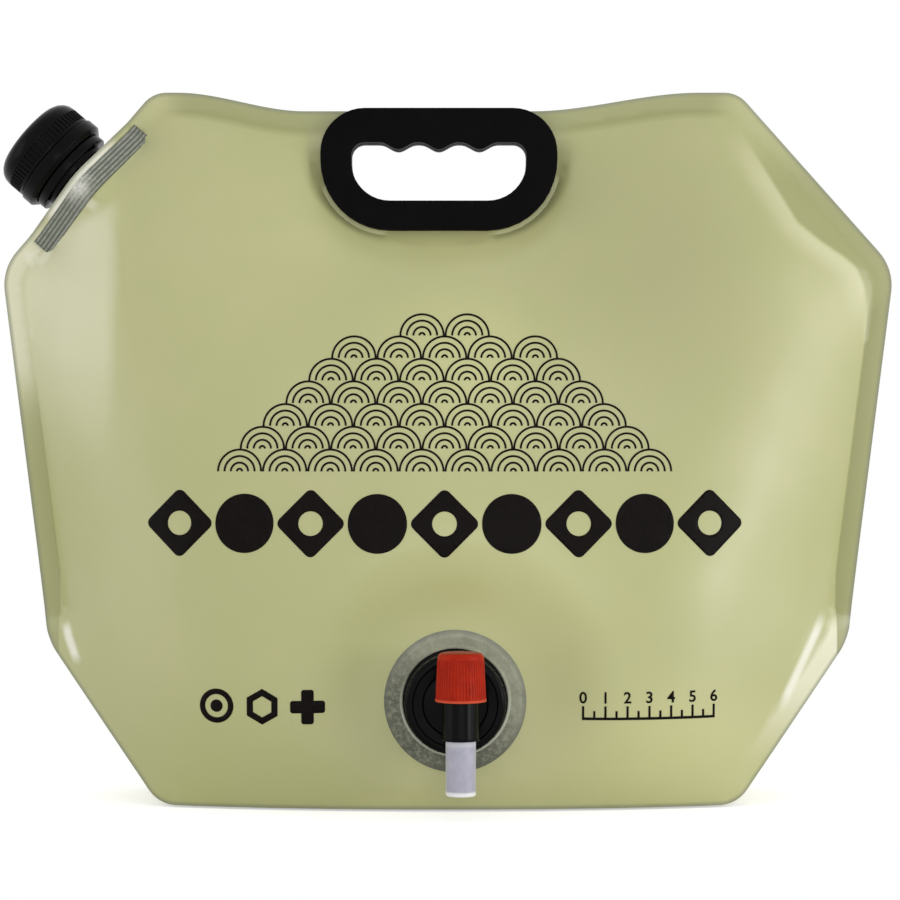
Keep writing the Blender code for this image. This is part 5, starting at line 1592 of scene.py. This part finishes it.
def laid(name, flat_mesh):
    """A flat drawing in x and z, cut small, laid on the front film and given a body."""
    form = bmesh.new()
    form.from_mesh(flat_mesh)
    bpy.data.meshes.remove(flat_mesh)
    for low, high, way in ((-0.2, 0.2, Vector((1, 0, 0))), (0.0, 0.33, Vector((0, 0, 1)))):
        for place in np.arange(low, high, INK_STEP):
            bmesh.ops.bisect_plane(form, geom=form.verts[:] + form.edges[:] + form.faces[:], dist=1e-7,
                                   plane_co=way * place, plane_no=way)
    bmesh.ops.triangulate(form, faces=form.faces[:])
    bmesh.ops.remove_doubles(form, verts=form.verts, dist=1e-6)
    for vertex in form.verts:
        vertex.co = on_front(vertex.co.x, vertex.co.z, INK_LIFT)
    form.normal_update()
    bmesh.ops.reverse_faces(form, faces=[f for f in form.faces if f.normal.y > 0])
    mesh = thickened(mesh_of(form, name), INK_DEPTH)
    mesh.shade_smooth()
    flattens(piece(name, mesh, INK, "bag"))


def filled(*loops):
    """A flat mesh in x and z from closed loops, with inner loops as holes."""
    return mesh_of(filled_form(loops), "print")


def ring_loop(x, z, radius, steps=48, start=0.0):
    return [(x + radius * math.cos(2 * math.pi * i / steps + start),
             z + radius * math.sin(2 * math.pi * i / steps + start)) for i in range(steps)]


def eased_loop(x, z, corners, steps=5):
    """A loop round x and z through corners given from there, each rounded by its radius."""
    return [(x + a, z + b) for a, b in eased(corners, steps=steps)]


def box_loop(left, bottom, right, top):
    return [(left, bottom), (right, bottom), (right, top), (left, top)]


SCALE_PITCH = 0.0207  # from scale to scale in a row
SCALE_LINE = 0.0009
SCALE_ARCS = (1.0, 0.70, 0.40, 0.12)
SCALE_PICTURE_X = -0.0015
SCALE_PICTURE_Z = 0.1535
SCALE_ROWS = (10, 9, 8, 7, 6, 5, 2)  # scales in each row, from the bottom


def scale_rows():
    """Rows of overlapping scales, a traditional pattern, drawn by Geometry Nodes."""
    tree = bpy.data.node_groups.new("scale_rows", "GeometryNodeTree")
    given = named_inputs(tree, {"Radius": "Float", "Line width": "Float"})
    arcs = add_node(tree, "GeometryNodeJoinGeometry")
    for share in SCALE_ARCS:
        arc = add_node(tree, "GeometryNodeCurveArc", {"mode": "RADIUS"},
                       {"Resolution": 24, "Start Angle": 0.0, "Sweep Angle": math.pi,
                        "Radius": maths(tree, "MULTIPLY", given["Radius"], share)})
        tree.links.new(arc.outputs[0], arcs.inputs[0])
    line = add_node(tree, "GeometryNodeCurvePrimitiveLine", None, {"Start": (-0.5, 0, 0), "End": (0.5, 0, 0)})
    width = given["Line width"]
    nib = transformed(tree, line.outputs[0], "Scale", X=width, Y=width, Z=width)
    drawn = add_node(tree, "GeometryNodeCurveToMesh", None, {"Curve": arcs.outputs[0], "Profile Curve": nib})
    rows = add_node(tree, "GeometryNodeJoinGeometry")
    for row, count in enumerate(SCALE_ROWS):
        start = (-(count - 1) / 2 * SCALE_PITCH, row * SCALE_PITCH / 2, 0)
        points = add_node(tree, "GeometryNodeMeshLine", {"mode": "OFFSET"},
                          {"Count": count, "Start Location": start, "Offset": (SCALE_PITCH, 0, 0)})
        tree.links.new(points.outputs[0], rows.inputs[0])
    placed = add_node(tree, "GeometryNodeInstanceOnPoints", None,
                      {"Points": rows.outputs[0], "Instance": drawn.outputs[0]}).outputs[0]
    mesh = nodes_mesh("scale_rows", tree, placed, INK,
                      {"Radius": SCALE_PITCH / 2 - SCALE_LINE / 2, "Line width": SCALE_LINE})
    mesh.transform(Matrix.Translation((SCALE_PICTURE_X, 0, SCALE_PICTURE_Z)) @ FACING_FRONT)
    return mesh


BEAD_X = -0.0015
BEAD_Z = 0.1300
BEAD_COUNT = 9
BEAD_PITCH = 0.0302
BEAD_HALF_HEIGHT = 0.0163


def bead_row():
    """A row of bold round dots and pierced diamonds, by turns."""
    meshes = []
    reach = BEAD_HALF_HEIGHT
    tips = [(0, -reach, 0.003), (reach, 0, 0.003), (0, reach, 0.003), (-reach, 0, 0.003)]
    first = BEAD_X - (BEAD_COUNT - 1) / 2 * BEAD_PITCH
    for i in range(BEAD_COUNT):
        x = first + i * BEAD_PITCH
        if i % 2:
            meshes.append(filled(ring_loop(x, BEAD_Z, reach * 0.82, 64)))
        else:
            meshes.append(filled(eased_loop(x, BEAD_Z, tips), ring_loop(x, BEAD_Z, reach * 0.34, 48)))
    return joined("bead_row", meshes)


MARK_XS = (-0.1047, -0.0837, -0.0632)
MARK_Z = 0.0475
MARK_RADIUS = 0.0078
MARK_ROUND = 0.0012


def marks():
    """Three plain marks: a ring round a dot, a hexagon and a plus."""
    first, second, third = MARK_XS
    half = MARK_RADIUS * 0.36
    arm = [(half, half, 0.0), (half, MARK_RADIUS, MARK_ROUND), (-half, MARK_RADIUS, MARK_ROUND)]
    plus = []
    for _ in range(4):
        plus += arm
        arm = [(-z, x, radius) for x, z, radius in arm]
    return joined("marks", [
        filled(ring_loop(first, MARK_Z, MARK_RADIUS), ring_loop(first, MARK_Z, MARK_RADIUS * 0.68)),
        filled(ring_loop(first, MARK_Z, half)),
        filled(ring_loop(second, MARK_Z, MARK_RADIUS * 1.04, 6, math.pi / 6),
               ring_loop(second, MARK_Z, MARK_RADIUS * 0.62, 6, math.pi / 6)),
        filled(eased_loop(third, MARK_Z, plus, 6)),
    ])


def number_mesh(text, x, z, size):
    curve = bpy.data.curves.new("number", "FONT")
    curve.body = text
    curve.size = size
    curve.align_x = "CENTER"
    curve.resolution_u = 4
    curve.offset = size * 0.018
    mesh = evaluated(linked("number", curve), "number")
    mesh.transform(Matrix.Translation((x, 0, z)) @ FACING_FRONT)
    return mesh


RULE_X = 0.0610
RULE_Z = 0.0425
RULE_PITCH = 0.0100  # from number to number
RULE_END = 6  # last number
RULE_HALF_LINE = 0.0005


def tick_scale():
    """A plain ruled scale with numbers, where the bag's front has room for one."""
    meshes = []
    for i in range(2 * RULE_END + 1):
        x = RULE_X + i * RULE_PITCH / 2
        height = 0.0052 if i % 2 == 0 else 0.0030
        meshes.append(filled(box_loop(x - RULE_HALF_LINE, RULE_Z, x + RULE_HALF_LINE, RULE_Z + height)))
        if i % 2 == 0:
            meshes.append(number_mesh(str(i // 2), x, RULE_Z + 0.0066, 0.0072))
    meshes.append(filled(box_loop(RULE_X - RULE_HALF_LINE, RULE_Z - 0.0011,
                                  RULE_X + RULE_END * RULE_PITCH + RULE_HALF_LINE, RULE_Z + 0.0001)))
    return joined("tick_scale", meshes)


laid("printed_scales", scale_rows())
laid("printed_bead_row", bead_row())
laid("printed_marks", marks())
laid("printed_tick_scale", tick_scale())

# Floor, backdrop and light

WHITE = (1, 1, 1, 1)
FLOOR_CLEAR = 0.0006  # the floor lies this far below the base


def seen_share(tree):
    """1 for rays that see the background: from the camera, in gloss or through a clear piece."""
    path = add_node(tree, "ShaderNodeLightPath").outputs
    rays = maths(tree, "MAXIMUM", path["Is Camera Ray"], path["Is Glossy Ray"])
    return maths(tree, "MAXIMUM", rays, path["Is Transmission Ray"])


def stage():
    """A white floor that keeps the shadow near the object and runs out to plain white."""
    material, tree, shader = new_material("white_studio_floor", Roughness=1.0, Specular_IOR_Level=0.0,
                                          Base_Color=linear("f2f2f0"), Emission_Color=WHITE)
    place = object_place(tree, scale=(1.7, 1, 1))
    away = add_node(tree, "ShaderNodeVectorMath", {"operation": "LENGTH"}, {0: place}).outputs["Value"]
    share = times(tree, ranged(tree, away, 0.10, 0.21, 0, 1, "SMOOTHSTEP"), seen_share(tree))
    white = add_node(tree, "ShaderNodeEmission", None, {"Color": WHITE, "Strength": 1.0}).outputs[0]
    seen = add_node(tree, "ShaderNodeLightPath").outputs["Is Camera Ray"]
    tree.links.new(ranged(tree, seen, 0, 1, 0, 0.50), shader.inputs["Emission Strength"])
    both = add_node(tree, "ShaderNodeMixShader", None, {0: share, 1: shader.outputs[0], 2: white})
    tree.links.new(both.outputs[0], tree.nodes["Material Output"].inputs["Surface"])
    form = bmesh.new()
    bmesh.ops.create_grid(form, x_segments=2, y_segments=2, size=6.0,
                          matrix=Matrix.Translation((0, 0, -FLOOR_CLEAR)))
    floor = linked("studio_floor", mesh_of(form, "studio_floor"))
    painted(floor.data, material)


def surround(light):
    """The world: white where it is seen, straight or in gloss, and plain light on the object."""
    world = bpy.data.worlds.new("studio")
    bpy.context.scene.world = world
    world.use_nodes = True
    tree = world.node_tree
    tree.nodes.clear()
    plain, white = (add_node(tree, "ShaderNodeBackground", None, {"Color": WHITE, "Strength": strength})
                    for strength in (light, 1.0))
    both = add_node(tree, "ShaderNodeMixShader", None,
                    {0: seen_share(tree), 1: plain.outputs[0], 2: white.outputs[0]})
    add_node(tree, "ShaderNodeOutputWorld", None, {"Surface": both.outputs[0]})


def softbox(name, place, aim, width, height, power):
    data = bpy.data.lights.new(name, "AREA")
    data.shape = "RECTANGLE"
    data.size = width
    data.size_y = height
    data.energy = power
    turn = (Vector(aim) - Vector(place)).to_track_quat("-Z", "Y")
    linked(name, data).matrix_world = Matrix.Translation(place) @ turn.to_matrix().to_4x4()


stage()
surround(0.70)
softbox("right_softbox", (1.50, -0.60, 0.25), (0.05, 0, 0.15), 0.8, 1.3, 7.8)
softbox("left_softbox", (-1.50, -0.60, 0.25), (-0.05, 0, 0.15), 0.8, 1.3, 4.2)
softbox("front_softbox", (0.15, -1.8, 0.45), (0, 0, 0.18), 1.0, 0.7, 3.5)
softbox("low_right_light", (1.20, -0.95, 0.13), (0.05, 0, 0.12), 0.3, 0.24, 2.1)

bpy.context.scene.view_settings.view_transform = "Standard"
